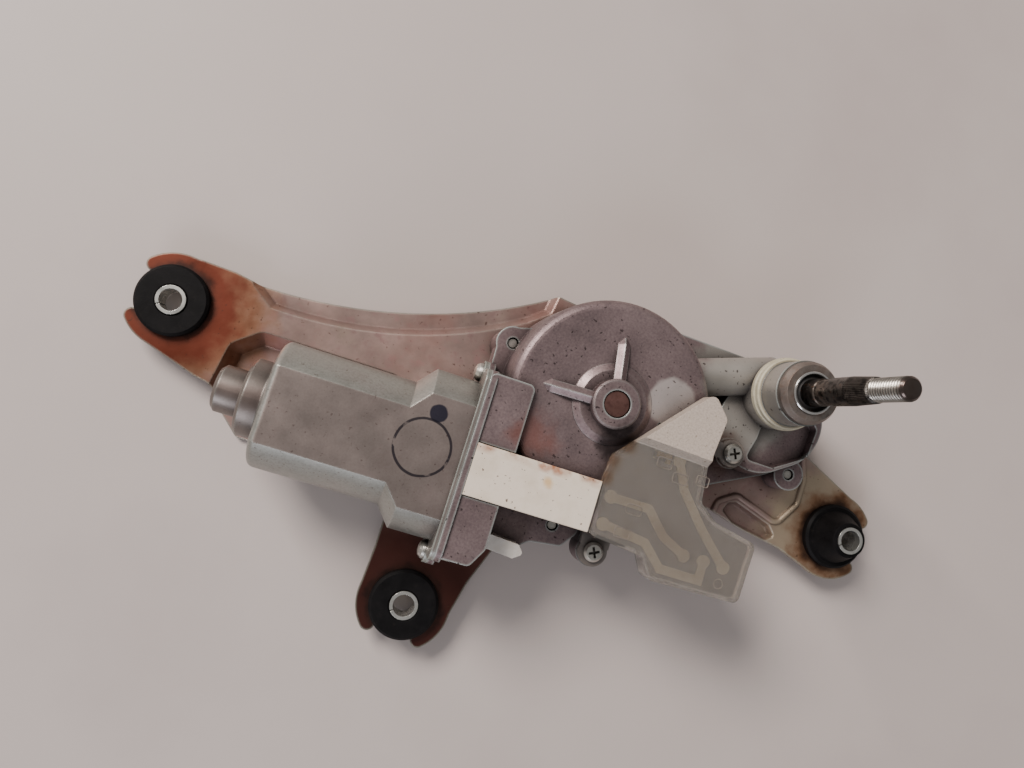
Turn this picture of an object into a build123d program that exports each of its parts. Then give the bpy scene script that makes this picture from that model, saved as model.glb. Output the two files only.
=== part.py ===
from build123d import *

# Rear windscreen wiper motor: direct-current motor, worm gearbox, crank linkage, pivot tube and bracket.
#
# Frame: the origin is on the output shaft's axis, in the middle of the plain seat that takes the wiper arm.
# +Z runs out along the shaft and +X runs along the motor, from its closed end towards the gearbox.
# Heights in this file are measured from the mounting plane, where the inner ends of the spacer sleeves sit.
# Plan points are (x, y) pairs in the part's frame. All sizes are in millimetres.

import os
from math import atan2, cos, degrees, hypot, radians, sin, sqrt

os.makedirs("parts", exist_ok=True)

# ---- Driving dimensions -------------------------------------------------------------------------------

datum_height = 74.0          # the arm seat's middle above the mounting plane
running_gap = 0.05           # radial clearance of a running fit
body_gap = 0.4               # clearance between bodies that never touch

# Bracket
plate = 2.0                  # sheet thickness
plate_top = 6.0
left_ear = (-232.3, -37.5)
lower_ear = (-114.6, -122.0)
right_ear = (52.8, -46.3)
ear_radius = 18.5
fork_radius = 7.5            # half the width of a fork's mouth
edge_drop = 3.0              # the strip along the upper edge is set back by this much
pocket_drop = 8.0            # depth of the trough and of the dish
dish_radius = 34.0
dish_hole_radius = 9.0

# Grommets and sleeves
grommet_radius = 13.5
grommet_low = 0.6
grommet_high = 9.4
sleeve_radius = 5.5
sleeve_bore = 4.2
sleeve_length = 10.0
tall_sleeve_length = 20.0    # the right-hand sleeve
seam_width = 0.4

# Gear housing
wheel_centre = (-68.0, -26.0)
drum_radius = 39.2
drum_top_radius = 35.0
shoulder_radius = 3.4        # rounding of the drum's upper edge
drum_top = 42.5
housing_low = 8.0
chamber_radius = 33.0
chamber_roof = 38.5
lever_chamber = [((5.0, -9.0), 21.0), ((-1.0, -13.5), 20.5)]     # circles that the lever chamber wraps
lever_wall = 2.4
neck_top = 17.0
neck_roof = 14.5
lever_roof = 19.0
disc_top = 25.0
lug_radius = 6.5
lug_top = 24.0
lug_points = [(-106.8, -13.8), (-71.4, -75.1), (20.0, -28.0)]

# Motor
motor_y = -62.6
motor_height = 26.0
yoke_radius = 23.3
yoke_flat = 19.0             # half the height over the flats
yoke_wall = 1.8
flange_standoff = 6.3        # from the drum's side to the face where the yoke meets the housing
bell_length = 17.5           # the yoke's wide mouth
shoulder_run = 6.0           # where the mouth narrows to the can
can_length = 48.0
bell_spread = 7.0            # the mouth is wider than the can by this much each side
yoke_flange = 1.6
yoke_screw_offset = 34.2
box_length = 16.5            # brush box, from the flange
ring_radius = 14.2
ring_length = 8.0            # behind the can
nose_radius = 8.6
nose_length = 18.0           # behind the can, ring included
shaft_radius = 3.5
worm_radius = 5.2
worm_root_radius = 4.0
worm_pitch = 3.3
worm_turns = 10
worm_tube_radius = 9.5
worm_tube_end_x = -33.0

# Gears and linkage
wheel_teeth = 60
wheel_low = 20.0
wheel_high = 32.0
wheel_hub_radius = 9.5
axle_radius = 4.95
axle_low = 13.2
boss_radius = 9.0
boss_top = 49.0
crank_radius = 14.0
lever_length = 17.5
eye_radius = 5.2
rest_angle = -69.1           # crank and lever point this way at rest, degrees from +X
rod_low = 9.0
rod_high = 12.5
lever_low = 13.5
lever_high = 17.0
link_pin_radius = 3.0
crank_pin_radius = 3.5

# Output shaft and pivot tube
output_radius = 5.0
shaft_low = 13.0
groove_low = 61.4
seat_low = 69.0
seat_high = 79.0
knurl_high = 90.5
thread_low = 91.5
shaft_high = 107.0
thread_radius = 4.0
bush_radius = 7.0
bush_length = 10.0
tube_radius = 12.2
tube_high = 49.5
cap_high = 54.0
collar_low = 34.0
collar_high = 38.5

# Terminal tray, its cover and the lead cover
tray_low = drum_top + 0.1
tray_thickness = 1.0
cover_wall = 1.2
cover_high = 46.5            # the wide panel over the busbars
cover_raised = 49.5          # the raised corner over the drum
cover_outline = [(-62.9, -43.4), (-33.9, -11.2), (-26.7, -18.8), (-28.2, -32.7), (-26.2, -50.3),
                 (-19.3, -55.4), (-1.5, -59.0), (-2.3, -81.4), (-37.7, -82.3), (-41.9, -75.0),
                 (-63.0, -72.9), (-63.8, -53.0)]
crease = [(-70.0, -35.6), (-18.0, -37.3)]
socket_centre = (-18.5, -70.5)
socket_size = (28.0, 18.0)
socket_low = 20.0
socket_wall = 1.6
tray_screws = [(-54.3, -80.0), (-14.1, -28.5)]
tray_screw_heights = [27.5, 33.5]
strip_end_x = -64.1
strip_y = (-72.4, -53.6)
strip_low = 43.2
strip_high = 46.0

# ---- Derived places -----------------------------------------------------------------------------------

flange_x = wheel_centre[0] - drum_radius - flange_standoff
bell_x = flange_x - bell_length
can_end_x = bell_x - shoulder_run
yoke_end_x = can_end_x - can_length
ring_x = yoke_end_x - ring_length
nose_x = yoke_end_x - nose_length
box_end_x = flange_x + box_length
strip_x = (flange_x + 2.7, strip_end_x)
worm_wheel_distance = wheel_centre[1] - motor_y
wheel_tip_radius = worm_wheel_distance - worm_radius - 0.3
crank_point = (wheel_centre[0] + crank_radius * cos(radians(rest_angle)),
               wheel_centre[1] + crank_radius * sin(radians(rest_angle)))
link_point = (lever_length * cos(radians(rest_angle)), lever_length * sin(radians(rest_angle)))
rod_angle = degrees(atan2(link_point[1] - crank_point[1], link_point[0] - crank_point[0]))
rod_length = hypot(link_point[0] - crank_point[0], link_point[1] - crank_point[1])
shaft_axis = (0.0, 0.0)


# ---- Helpers ------------------------------------------------------------------------------------------

def level(height):
    """Horizontal plane at a height above the mounting plane."""
    return Plane.XY.offset(height - datum_height)


def upright(point):
    """Vertical plane through a plan point: x is the distance from it, y the height."""
    return Plane(origin=(point[0], point[1], -datum_height), x_dir=(1, 0, 0), z_dir=(0, -1, 0))


def across(x, height=motor_height):
    """Plane across the motor at x: its own x runs along +Y and its own y runs up."""
    return Plane(origin=(x, motor_y, height - datum_height), x_dir=(0, 1, 0), z_dir=(1, 0, 0))


def turn(point, profile, mode=Mode.ADD):
    """Turn a (radius, height) profile about the vertical through a plan point."""
    with BuildSketch(upright(point)) as section:
        Polygon(*profile)
    revolve(section.sketch, axis=Axis((point[0], point[1], 0), (0, 0, 1)), mode=mode)


def turn_on_motor(profile, shift=0.0, mode=Mode.ADD):
    """Turn an (x, radius) profile about the motor's axis, or about a line shifted along Y from it."""
    middle = (0, motor_y + shift, motor_height - datum_height)
    with BuildSketch(Plane(origin=middle, x_dir=(1, 0, 0), z_dir=(0, -1, 0))) as section:
        Polygon(*profile)
    revolve(section.sketch, axis=Axis(middle, (1, 0, 0)), mode=mode)


def prism(points, low, high, radius=0.0, taper=0.0, mode=Mode.ADD):
    """Upright block on a closed outline whose corners are rounded."""
    with BuildSketch(level(low)) as base:
        with BuildLine():
            FilletPolyline(*points, radius=radius, close=True)
        make_face()
    extrude(base.sketch, amount=high - low, taper=taper, mode=mode)


def post(point, radius, low, high, mode=Mode.ADD):
    """Upright round post."""
    with BuildSketch(level(low)) as base:
        with Locations(point):
            Circle(radius)
    extrude(base.sketch, amount=high - low, mode=mode)


def box_between(x, y, z, mode=Mode.ADD):
    """Block between pairs of x, y and height."""
    with BuildSketch(level(z[0])) as base:
        with Locations(((x[0] + x[1]) / 2, (y[0] + y[1]) / 2)):
            Rectangle(x[1] - x[0], y[1] - y[0])
    extrude(base.sketch, amount=z[1] - z[0], mode=mode)


def inset(points, distance):
    """Corners of an outline moved inwards, for a counter-clockwise or clockwise list alike."""
    with BuildSketch(mode=Mode.PRIVATE) as shape:
        Polygon(*points)
        offset(amount=-distance, kind=Kind.INTERSECTION)
    corners = shape.sketch.faces()[0].outer_wire().order_edges()
    return [(edge.position_at(0).X, edge.position_at(0).Y) for edge in corners]


def save(piece, label):
    """Name a finished piece and write it."""
    piece.part.label = label
    export_step(piece.part, f"parts/{label}.step")


# ---- Bracket ------------------------------------------------------------------------------------------

block_low = -30.0
block_size = 500.0

# The ground is a block whose top carries every pressed step; the sheet is what lies between
# that top and the same top moved down by the sheet's thickness.
with BuildPart() as ground:
    with BuildSketch(level(block_low)):
        with Locations((-90, -55)):
            Rectangle(block_size, block_size)
    extrude(amount=plate_top - block_low)
    # set-back strip along the upper edge
    with BuildSketch(level(plate_top)) as strip_shape:
        with BuildLine():
            ThreePointArc((-198, -28.5), (-148.5, -22.5), (-101, -1.5))
            FilletPolyline((-101, -1.5), (-93, 5), (-88, 40), (-230, 40), (-207, -22), (-198, -28.5),
                           radius=3)
        make_face()
    extrude(strip_shape.sketch, amount=-edge_drop, taper=40, mode=Mode.SUBTRACT)
    # trough under the closed end of the motor
    with BuildSketch(level(plate_top)) as trough_shape:
        with BuildLine():
            FilletPolyline((-211, -68), (-208, -46), (-198, -38), (-140, -38), (-140, -100), (-211, -100),
                           radius=6, close=True)
        make_face()
    extrude(trough_shape.sketch, amount=-pocket_drop, taper=30, mode=Mode.SUBTRACT)
    # dish under the gear chamber
    turn(wheel_centre, [(0, plate_top), (dish_radius, plate_top),
                        (dish_radius - pocket_drop, plate_top - pocket_drop),
                        (0, plate_top - pocket_drop)], mode=Mode.SUBTRACT)
    # stiffening slot between the chamber and the right ear
    with BuildSketch(level(plate_top)) as slot_shape:
        with BuildLine():
            FilletPolyline((1.5, -50), (3.5, -45.8), (7, -44.8), (24, -50), (27.5, -54), (24, -57),
                           (8, -54.5),
                           radius=1.4, close=True)
        make_face()
    extrude(slot_shape.sketch, amount=-edge_drop, taper=25, mode=Mode.SUBTRACT)
    # bead that runs in front of the right ear and round the slot
    bead_points = [(28, -12), (33.4, -27), (33.4, -38), (26.5, -48.6), (6, -42.2), (-1.5, -47), (-4, -62)]
    with BuildLine() as bead_path:
        FilletPolyline(*[(x, y, plate_top - datum_height) for x, y in bead_points], radius=3.5)
    with BuildSketch(Plane(origin=bead_path.line @ 0, z_dir=bead_path.line % 0)) as bead_shape:
        Circle(1.3)
    sweep(bead_shape.sketch, path=bead_path.line)

with BuildPart() as bracket:
    add(ground.part)
    add(ground.part.moved(Location((0, 0, -plate))), mode=Mode.SUBTRACT)
    with BuildSketch(level(block_low)) as outline:
        with BuildLine():
            ThreePointArc((-205, -21.2), (-150.8, -13.8), (-92, 13.0))
            Polyline((-92, 13.0), (-68, 10.5), (-35, 2), (0, -7), (33, -17.5), (62, -30.5), right_ear,
                     (50, -64.6), (31, -58.2), (14, -55.6), (-5, -51), (-40, -56), (-84, -84), (-88, -95),
                     (-93, -108), (-96.2, -122), lower_ear, (-133.0, -122), (-132, -104), (-132, -88),
                     (-139, -80), (-196, -80), (-207, -70), (-208.5, -63.3), (-216, -62.0), (-224.5, -59.3),
                     (-237, -55.4), left_ear, (-238, -19.9), (-227, -19.2), (-214, -19.6), (-205, -21.2))
        make_face()
        with Locations(left_ear, lower_ear, right_ear):
            Circle(ear_radius)
        # soften every outer and inner corner
        offset(amount=-3)
        offset(amount=9)
        offset(amount=-6)
        for ear, way in ((left_ear, 176), (lower_ear, 266), (right_ear, -4)):
            with Locations(ear):
                Circle(fork_radius, mode=Mode.SUBTRACT)
            with Locations(Location((ear[0], ear[1], 0), (0, 0, way))):
                Rectangle(2 * ear_radius, 2 * fork_radius, align=(Align.MIN, Align.CENTER),
                          mode=Mode.SUBTRACT)
            for side in (-1, 1):
                reach = sqrt(ear_radius ** 2 - fork_radius ** 2)
                tip = Vector(reach, side * fork_radius).rotate(Axis.Z, way) + Vector(*ear)
                fillet(outline.vertices().sort_by_distance(tip)[0], radius=3)
        with Locations(wheel_centre):
            Circle(dish_hole_radius, mode=Mode.SUBTRACT)
        with Locations(*lug_points):
            Circle(2.6, mode=Mode.SUBTRACT)
    extrude(outline.sketch, amount=-2 * block_low, mode=Mode.INTERSECT)
save(bracket, "bracket")

# ---- Rubber mounts ------------------------------------------------------------------------------------

grommets = {
    "left": (left_ear, grommet_high, sleeve_length),
    "lower": (lower_ear, grommet_high + 0.3, sleeve_length),
    "right": (right_ear, grommet_high, tall_sleeve_length),
}
for side, (point, crown, length) in grommets.items():
    with BuildPart() as grommet:
        lip = sleeve_radius + 1.6
        top = [(grommet_radius, crown - 1.0), (grommet_radius - 1.0, crown)]
        if length > crown + 4:
            top += [(grommet_radius - 2.5, crown), (lip, length - 1.0), (sleeve_radius, length - 0.6)]
        else:
            top += [(sleeve_radius + 0.6, crown), (sleeve_radius, crown - 0.6)]
        turn(point, [(sleeve_radius, grommet_low), (grommet_radius - 1.0, grommet_low),
                     (grommet_radius, grommet_low + 1.0), (grommet_radius, plate_top - plate),
                     (fork_radius, plate_top - plate), (fork_radius, plate_top),
                     (grommet_radius, plate_top)] + top)
    save(grommet, f"grommet_{side}")

    with BuildPart() as sleeve:
        turn(point, [(sleeve_bore, 0), (sleeve_radius, 0), (sleeve_radius, length), (sleeve_bore, length)])
        with BuildSketch(level(0)) as seam:
            with Locations(Location((point[0], point[1], 0), (0, 0, 215))):
                Rectangle(2 * sleeve_radius, seam_width, align=(Align.MIN, Align.CENTER))
        extrude(seam.sketch, amount=length, mode=Mode.SUBTRACT)
    save(sleeve, f"sleeve_{side}")

# ---- Gear housing -------------------------------------------------------------------------------------

front_bearing_x = (flange_x + 17.5, flange_x + 25.5)
rear_bearing_x = (-46.5, -38.5)
bearing_radius = 7.5
worm_bore_radius = worm_radius + 0.8
ball_radius = 2.5
pad_x = rear_bearing_x[1] + 2 * ball_radius + 0.6
collar_bore = tube_radius + 0.3


def footprint(distance, wheel_side=0.0):
    """The lever chamber's outline moved inwards, joined by tangents to a circle on the wheel's centre."""
    with BuildSketch(mode=Mode.PRIVATE) as shape:
        for centre, radius in lever_chamber:
            with Locations(centre):
                Circle(radius - distance)
        if wheel_side:
            with Locations(wheel_centre):
                Circle(wheel_side)
        make_hull()
    return shape.sketch


def housing_rib(angle, inner, outer, thickness):
    """Sloping rib on the drum's roof, from the boss outwards."""
    way = Vector(1, 0).rotate(Axis.Z, angle)
    plane = Plane(origin=(wheel_centre[0], wheel_centre[1], -datum_height), x_dir=way,
                  z_dir=Vector(0, 0, -1).cross(way))
    with BuildSketch(plane) as side:
        Polygon((inner, drum_top - 3), (outer - 1, drum_top - 3), (outer, drum_top + 0.1),
                (outer - 2.5, drum_top + 1.6), (inner, boss_top - 1.2), align=None)
    extrude(side.sketch, amount=thickness / 2, both=True, taper=32)


with BuildPart() as gear_housing:
    # base of drum, neck and lever chamber, then the drum with a rounded shoulder
    with BuildSketch(level(housing_low)) as base:
        add(footprint(0, drum_radius))
    extrude(base.sketch, amount=neck_top - housing_low)
    shoulder = [(drum_top_radius + shoulder_radius * cos(radians(a)),
                 drum_top - shoulder_radius + shoulder_radius * sin(radians(a))) for a in range(0, 91, 15)]
    turn(wheel_centre, [(0, neck_top), (drum_radius, neck_top), *shoulder, (0, drum_top)])
    # lever chamber's raised disc, and the flank that falls from the pivot tube to it
    with BuildSketch(level(neck_top)) as disc_base:
        add(footprint(0.6))
    extrude(disc_base.sketch, amount=disc_top - neck_top, taper=9)
    with BuildPart(mode=Mode.PRIVATE) as flank:
        turn(shaft_axis, [(0, neck_top), (20.5, neck_top), (20.0, disc_top - 4), (17.3, disc_top + 0.5),
                          (tube_radius + 1.4, disc_top + 6.5), (0, disc_top + 6.5)])
        with BuildSketch(level(neck_top - 1)) as flank_limit:
            add(footprint(0.9))
        extrude(flank_limit.sketch, amount=20, mode=Mode.INTERSECT)
    add(flank.part)
    # recess in the disc, beside the pivot tube
    prism([(-3.5, -27.5), (8, -27.5), (20.5, -19.5), (21.5, -8), (13, -1), (0, -8), (-1, -19)],
          lever_roof + 2, disc_top + 6, radius=1.5, taper=-10, mode=Mode.SUBTRACT)
    # arm from the drum to the pivot tube
    arm_start = Vector(-44.0, -7.3)
    arm_end = Vector(-3.0, 7.0)
    arm_way = arm_end - arm_start
    with BuildSketch(Plane(origin=(arm_start.X, arm_start.Y, -datum_height),
                           x_dir=Vector(0, 0, 1).cross(arm_way), z_dir=arm_way)) as arm_section:
        with Locations((0, 26.0)):
            Circle(7.5)
        with Locations((0, 21.0)):
            Rectangle(15, 10)
    extrude(arm_section.sketch, amount=arm_way.length)
    # pivot tube
    turn(shaft_axis, [(0, neck_top - 1), (tube_radius + 1.4, neck_top - 1), (tube_radius + 1.4, collar_low),
                      (collar_bore, collar_low), (collar_bore, collar_high), (tube_radius, collar_high),
                      (tube_radius, tube_high), (0, tube_high)])
    # brush box: two raised blocks with a channel between them for the lead cover
    box_y = (motor_y - 33.0, motor_y + 34.0)
    prism([(flange_x, box_y[0]), (box_end_x - 4, box_y[0]), (box_end_x, box_y[0] + 7), (box_end_x, box_y[1]),
           (flange_x, box_y[1])], housing_low, motor_height + yoke_flat, radius=2.4)
    box_between((flange_x - 1, box_end_x + 1), (strip_y[0] - 0.3, strip_y[1] + 0.3),
                (drum_top, motor_height + yoke_flat + 1), mode=Mode.SUBTRACT)
    # flange that meets the yoke
    with BuildSketch(across(flange_x)) as flange_face:
        Rectangle(70, 2 * yoke_flat + 1.6)
        fillet(flange_face.vertices(), radius=5)
        with Locations((yoke_screw_offset, 0), (-yoke_screw_offset, 0)):
            Circle(4.6)
    extrude(flange_face.sketch, amount=2.6)
    # worm tube
    turn_on_motor([(flange_x + 2, 0), (flange_x + 2, worm_tube_radius),
                   (worm_tube_end_x - 1.5, worm_tube_radius),
                   (worm_tube_end_x, worm_tube_radius - 1.5), (worm_tube_end_x, 0)])
    # webs and lugs
    prism([(-112.0, -30), (-112.6, -14), (-108.5, -8), (-100, -5.5), (-92, 1), (-84, -26)], lug_top - 10,
          lug_top,
          radius=2.5)
    prism([(-98, -58), (-98, -90), (-85, -88.5), (-78, -83.5), (-66, -82), (-61.5, -76), (-58, -60)],
          lug_top - 10, lug_top, radius=2)
    for lug in lug_points:
        post(lug, lug_radius, plate_top, lug_top if lug != lug_points[2] else neck_top)
    for point, height in zip(tray_screws, tray_screw_heights):
        post(point, 6.0, neck_roof, height - 2.0)
    prism([(-60, -66), (-60, -80), (-49, -80), (-49, -66)], lug_top - 8, lug_top, radius=1.5)
    prism([(-24, -18), (-24, -32), (-14, -34), (-9, -26), (-8, -14)], neck_top - 1, lug_top - 2, radius=2)
    # wheel boss on its low mound, and two ribs
    turn(wheel_centre, [(0, drum_top - 1), (boss_radius, drum_top - 1), (boss_radius, boss_top - 0.6),
                        (boss_radius - 0.6, boss_top), (0, boss_top)])
    turn(wheel_centre, [(0, drum_top - 1), (15.0, drum_top - 1), (15.0, drum_top + 0.2),
                        (12.4, drum_top + 1.7),
                        (0, drum_top + 1.7)])
    for angle, reach in ((181, 26.5), (95, 25.0)):
        housing_rib(angle, boss_radius - 2, reach, 4.8)
    # gear chamber, neck and lever chamber, open to the rear
    post(wheel_centre, chamber_radius, neck_roof, chamber_roof, mode=Mode.SUBTRACT)
    with BuildSketch(level(housing_low)) as hollow:
        add(footprint(lever_wall, 23.0))
        with Locations(wheel_centre):
            Circle(chamber_radius)
        with Locations(lug_points[2]):
            Circle(lug_radius, mode=Mode.SUBTRACT)
    extrude(hollow.sketch, amount=neck_roof - housing_low, mode=Mode.SUBTRACT)
    with BuildSketch(level(neck_roof)) as lever_hollow:
        add(footprint(lever_wall))
        with Locations(lug_points[2]):
            Circle(lug_radius, mode=Mode.SUBTRACT)
    extrude(lever_hollow.sketch, amount=lever_roof - neck_roof, mode=Mode.SUBTRACT)
    # bores: pivot tube, wheel axle, worm, bearings and thrust end
    post(shaft_axis, bush_radius, lever_roof - 1, tube_high + 1, mode=Mode.SUBTRACT)
    post(wheel_centre, axle_radius, chamber_roof - 1, boss_top + 1, mode=Mode.SUBTRACT)
    turn_on_motor([(flange_x - 1, 0), (flange_x - 1, 8.5), (front_bearing_x[0] - 1, 8.5),
                   (front_bearing_x[0], bearing_radius), (front_bearing_x[1], bearing_radius),
                   (front_bearing_x[1], worm_bore_radius), (rear_bearing_x[0], worm_bore_radius),
                   (rear_bearing_x[0], bearing_radius), (rear_bearing_x[1], bearing_radius),
                   (rear_bearing_x[1], ball_radius + 0.6), (pad_x, ball_radius + 0.6), (pad_x, 0)],
                  mode=Mode.SUBTRACT)
    # brush chamber
    with BuildSketch(across(flange_x - 1)) as brush_chamber:
        RectangleRounded(46, 30, 5)
    extrude(brush_chamber.sketch, amount=10.5, mode=Mode.SUBTRACT)
    # screw holes
    for lug in lug_points:
        post(lug, 2.2, plate_top - 1, lug_top + 1, mode=Mode.SUBTRACT)
    for point, height in zip(tray_screws, tray_screw_heights):
        post(point, 1.9, height - 12.0, height, mode=Mode.SUBTRACT)
    with BuildSketch(across(flange_x - 1)) as yoke_holes:
        with Locations((yoke_screw_offset, 0), (-yoke_screw_offset, 0)):
            Circle(2.0)
    extrude(yoke_holes.sketch, amount=10, mode=Mode.SUBTRACT)
    # slot for the contact fingers
    finger_point = (wheel_centre[0] + 24.0, wheel_centre[1] - 8.0)
    box_between((finger_point[0] - 5, finger_point[0] + 5), (finger_point[1] - 7, finger_point[1] + 7),
                (chamber_roof - 1, drum_top + 1), mode=Mode.SUBTRACT)
    # bosses for the rear cover's screws in the lever chamber, and all the cover's holes
    boss_points = [(14.0, 6.0), (21.3, -15.3)]
    rim_radius = (chamber_radius + drum_radius) / 2
    rim_points = [(wheel_centre[0] + rim_radius * cos(radians(a)),
                   wheel_centre[1] + rim_radius * sin(radians(a)))
                  for a in (78, 122, 214, 304)]
    for point in boss_points:
        post(point, 2.8, housing_low, lever_roof + 0.5)
    for point in boss_points + rim_points:
        post(point, 1.5, housing_low - 1, housing_low + 7.0, mode=Mode.SUBTRACT)
save(gear_housing, "gear_housing")

# ---- Rear cover and its screws ------------------------------------------------------------------------

rear_cover_low = housing_low - 1.5
with BuildPart() as rear_cover:
    with BuildSketch(level(rear_cover_low)) as cover_shape:
        add(footprint(0.5, drum_radius - 0.5))
        with Locations(*lug_points):
            Circle(lug_radius + 0.5, mode=Mode.SUBTRACT)
    extrude(cover_shape.sketch, amount=housing_low - rear_cover_low)
    turn(wheel_centre, [(22, rear_cover_low - 2), (26, rear_cover_low - 2), (28, rear_cover_low),
                        (28, housing_low), (20, housing_low), (20, rear_cover_low)])
    turn(wheel_centre, [(22.8, rear_cover_low - 1), (25.4, rear_cover_low - 1), (27, housing_low),
                        (21.5, housing_low)], mode=Mode.SUBTRACT)
    for point in boss_points + rim_points:
        turn(point, [(0, rear_cover_low), (2.7, rear_cover_low), (1.6, housing_low), (0, housing_low)],
             mode=Mode.SUBTRACT)
save(rear_cover, "rear_cover")

with BuildPart() as rear_cover_screws:
    for point in boss_points + rim_points:
        turn(point, [(0, rear_cover_low + 0.1), (2.5, rear_cover_low + 0.1), (1.45, housing_low),
                     (1.45, housing_low + 6.0), (0, housing_low + 6.0)])
        with BuildSketch(level(rear_cover_low)) as cross:
            with Locations(point):
                Rectangle(3.0, 0.7)
                Rectangle(0.7, 3.0)
        extrude(cross.sketch, amount=0.8, mode=Mode.SUBTRACT)
save(rear_cover_screws, "rear_cover_screws")

with BuildPart() as bracket_screws:
    for lug in lug_points:
        tip = lug_top - 0.8 if lug != lug_points[2] else neck_top - 0.8
        base = plate_top - plate
        turn(lug, [(0, base - 3.0), (3.4, base - 3.0), (4.2, base - 1.2), (4.2, base), (2.2, base),
                   (2.2, tip - 0.5),
                   (1.7, tip), (0, tip)])
save(bracket_screws, "bracket_screws")

# ---- Motor yoke ---------------------------------------------------------------------------------------


def flatted(x, spread, thinner):
    """Section of the yoke: two flats joined by two arcs; spread widens it, thinner insets it."""
    radius = yoke_radius - thinner
    flat = yoke_flat - thinner
    half = sqrt(radius ** 2 - flat ** 2) + spread
    with BuildSketch(across(x)) as section:
        with BuildLine():
            Line((-half, flat), (half, flat))
            ThreePointArc((half, flat), (radius + spread, 0), (half, -flat))
            Line((half, -flat), (-half, -flat))
            ThreePointArc((-half, -flat), (-radius - spread, 0), (-half, flat))
        make_face()
    return section.sketch


def yoke_form(thinner, end_x, mouth_x, mode=Mode.ADD):
    """Can, shoulder and wide mouth of the yoke."""
    extrude(flatted(end_x, 0, thinner), amount=can_end_x - end_x, mode=mode)
    loft([flatted(can_end_x, 0, thinner), flatted(bell_x, bell_spread, thinner)], mode=mode)
    extrude(flatted(bell_x, bell_spread, thinner), amount=mouth_x - bell_x, mode=mode)


yoke_bearing_x = (nose_x + 2.2, nose_x + 9.0)
with BuildPart() as motor_yoke:
    yoke_form(0, yoke_end_x, flange_x)
    fillet(motor_yoke.edges().group_by(Axis.X)[0], radius=2.6)
    turn_on_motor([(yoke_end_x + 0.5, 0), (yoke_end_x + 0.5, ring_radius + 1),
                   (yoke_end_x - 0.8, ring_radius),
                   (ring_x + 1.2, ring_radius), (ring_x, ring_radius - 1.2), (ring_x, nose_radius + 0.6),
                   (ring_x - 0.6, nose_radius), (nose_x + 1.4, nose_radius), (nose_x, nose_radius - 1.4),
                   (nose_x, 0)])
    with BuildSketch(across(flange_x - yoke_flange)) as yoke_flange_face:
        Rectangle(70, 2 * yoke_flat + 1.6)
        fillet(yoke_flange_face.vertices(), radius=5)
        with Locations((yoke_screw_offset, 0), (-yoke_screw_offset, 0)):
            Circle(4.6)
    extrude(yoke_flange_face.sketch, amount=yoke_flange)
    yoke_form(yoke_wall, yoke_end_x + yoke_wall, flange_x + 1, mode=Mode.SUBTRACT)
    turn_on_motor([(yoke_end_x + 2.5, 0), (yoke_end_x + 2.5, ring_radius - yoke_wall),
                   (ring_x + yoke_wall, ring_radius - yoke_wall), (ring_x + yoke_wall, 7.0),
                   (yoke_bearing_x[0], 7.0), (nose_x + 1.6, 5.0), (nose_x + 1.6, 0)], mode=Mode.SUBTRACT)
    with BuildSketch(across(flange_x - yoke_flange - 1)) as screw_holes:
        with Locations((yoke_screw_offset, 0), (-yoke_screw_offset, 0)):
            Circle(2.3)
    extrude(screw_holes.sketch, amount=yoke_flange + 2, mode=Mode.SUBTRACT)
save(motor_yoke, "motor_yoke")

seat_x = flange_x - yoke_flange
with BuildPart() as yoke_screws:
    for side in (-1, 1):
        turn_on_motor([(seat_x - 2.8, 0), (seat_x - 2.8, 1.2), (seat_x - 2.3, 2.6), (seat_x - 1.2, 3.4),
                       (seat_x, 3.7), (seat_x, 2.0), (flange_x + 8.0, 2.0), (flange_x + 8.5, 1.5),
                       (flange_x + 8.5, 0)], shift=side * yoke_screw_offset)
save(yoke_screws, "yoke_screws")

# ---- Inside the motor ---------------------------------------------------------------------------------

magnet_radius = yoke_radius - yoke_wall - 0.05
magnet_bore = 17.2
magnet_x = (yoke_end_x + 7.0, can_end_x - 6.0)
core_x = (yoke_end_x + 10.0, can_end_x - 9.0)
core_radius = 16.5
core_slots = 10
commutator_x = (flange_x - 20.5, flange_x - 7.5)
commutator_radius = 9.0

with BuildPart() as magnets:
    with BuildSketch(across(magnet_x[0])) as magnet_section:
        Circle(magnet_radius)
        Circle(magnet_bore, mode=Mode.SUBTRACT)
        Rectangle(80, 2 * magnet_bore * sin(radians(50)), mode=Mode.INTERSECT)
    extrude(magnet_section.sketch, amount=magnet_x[1] - magnet_x[0])
save(magnets, "magnets")

with BuildPart() as yoke_bearing:
    turn_on_motor([(yoke_bearing_x[0], shaft_radius + running_gap), (yoke_bearing_x[0], 7.0),
                   (yoke_bearing_x[1], 7.0), (yoke_bearing_x[1], shaft_radius + running_gap)])
save(yoke_bearing, "yoke_bearing")

with BuildPart() as front_bearing:
    turn_on_motor([(front_bearing_x[0], shaft_radius + running_gap), (front_bearing_x[0], bearing_radius),
                   (front_bearing_x[1], bearing_radius), (front_bearing_x[1], shaft_radius + running_gap)])
save(front_bearing, "front_bearing")

with BuildPart() as rear_bearing:
    turn_on_motor([(rear_bearing_x[0], shaft_radius + running_gap), (rear_bearing_x[0], bearing_radius),
                   (rear_bearing_x[1], bearing_radius), (rear_bearing_x[1], shaft_radius + running_gap)])
save(rear_bearing, "rear_bearing")

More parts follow.
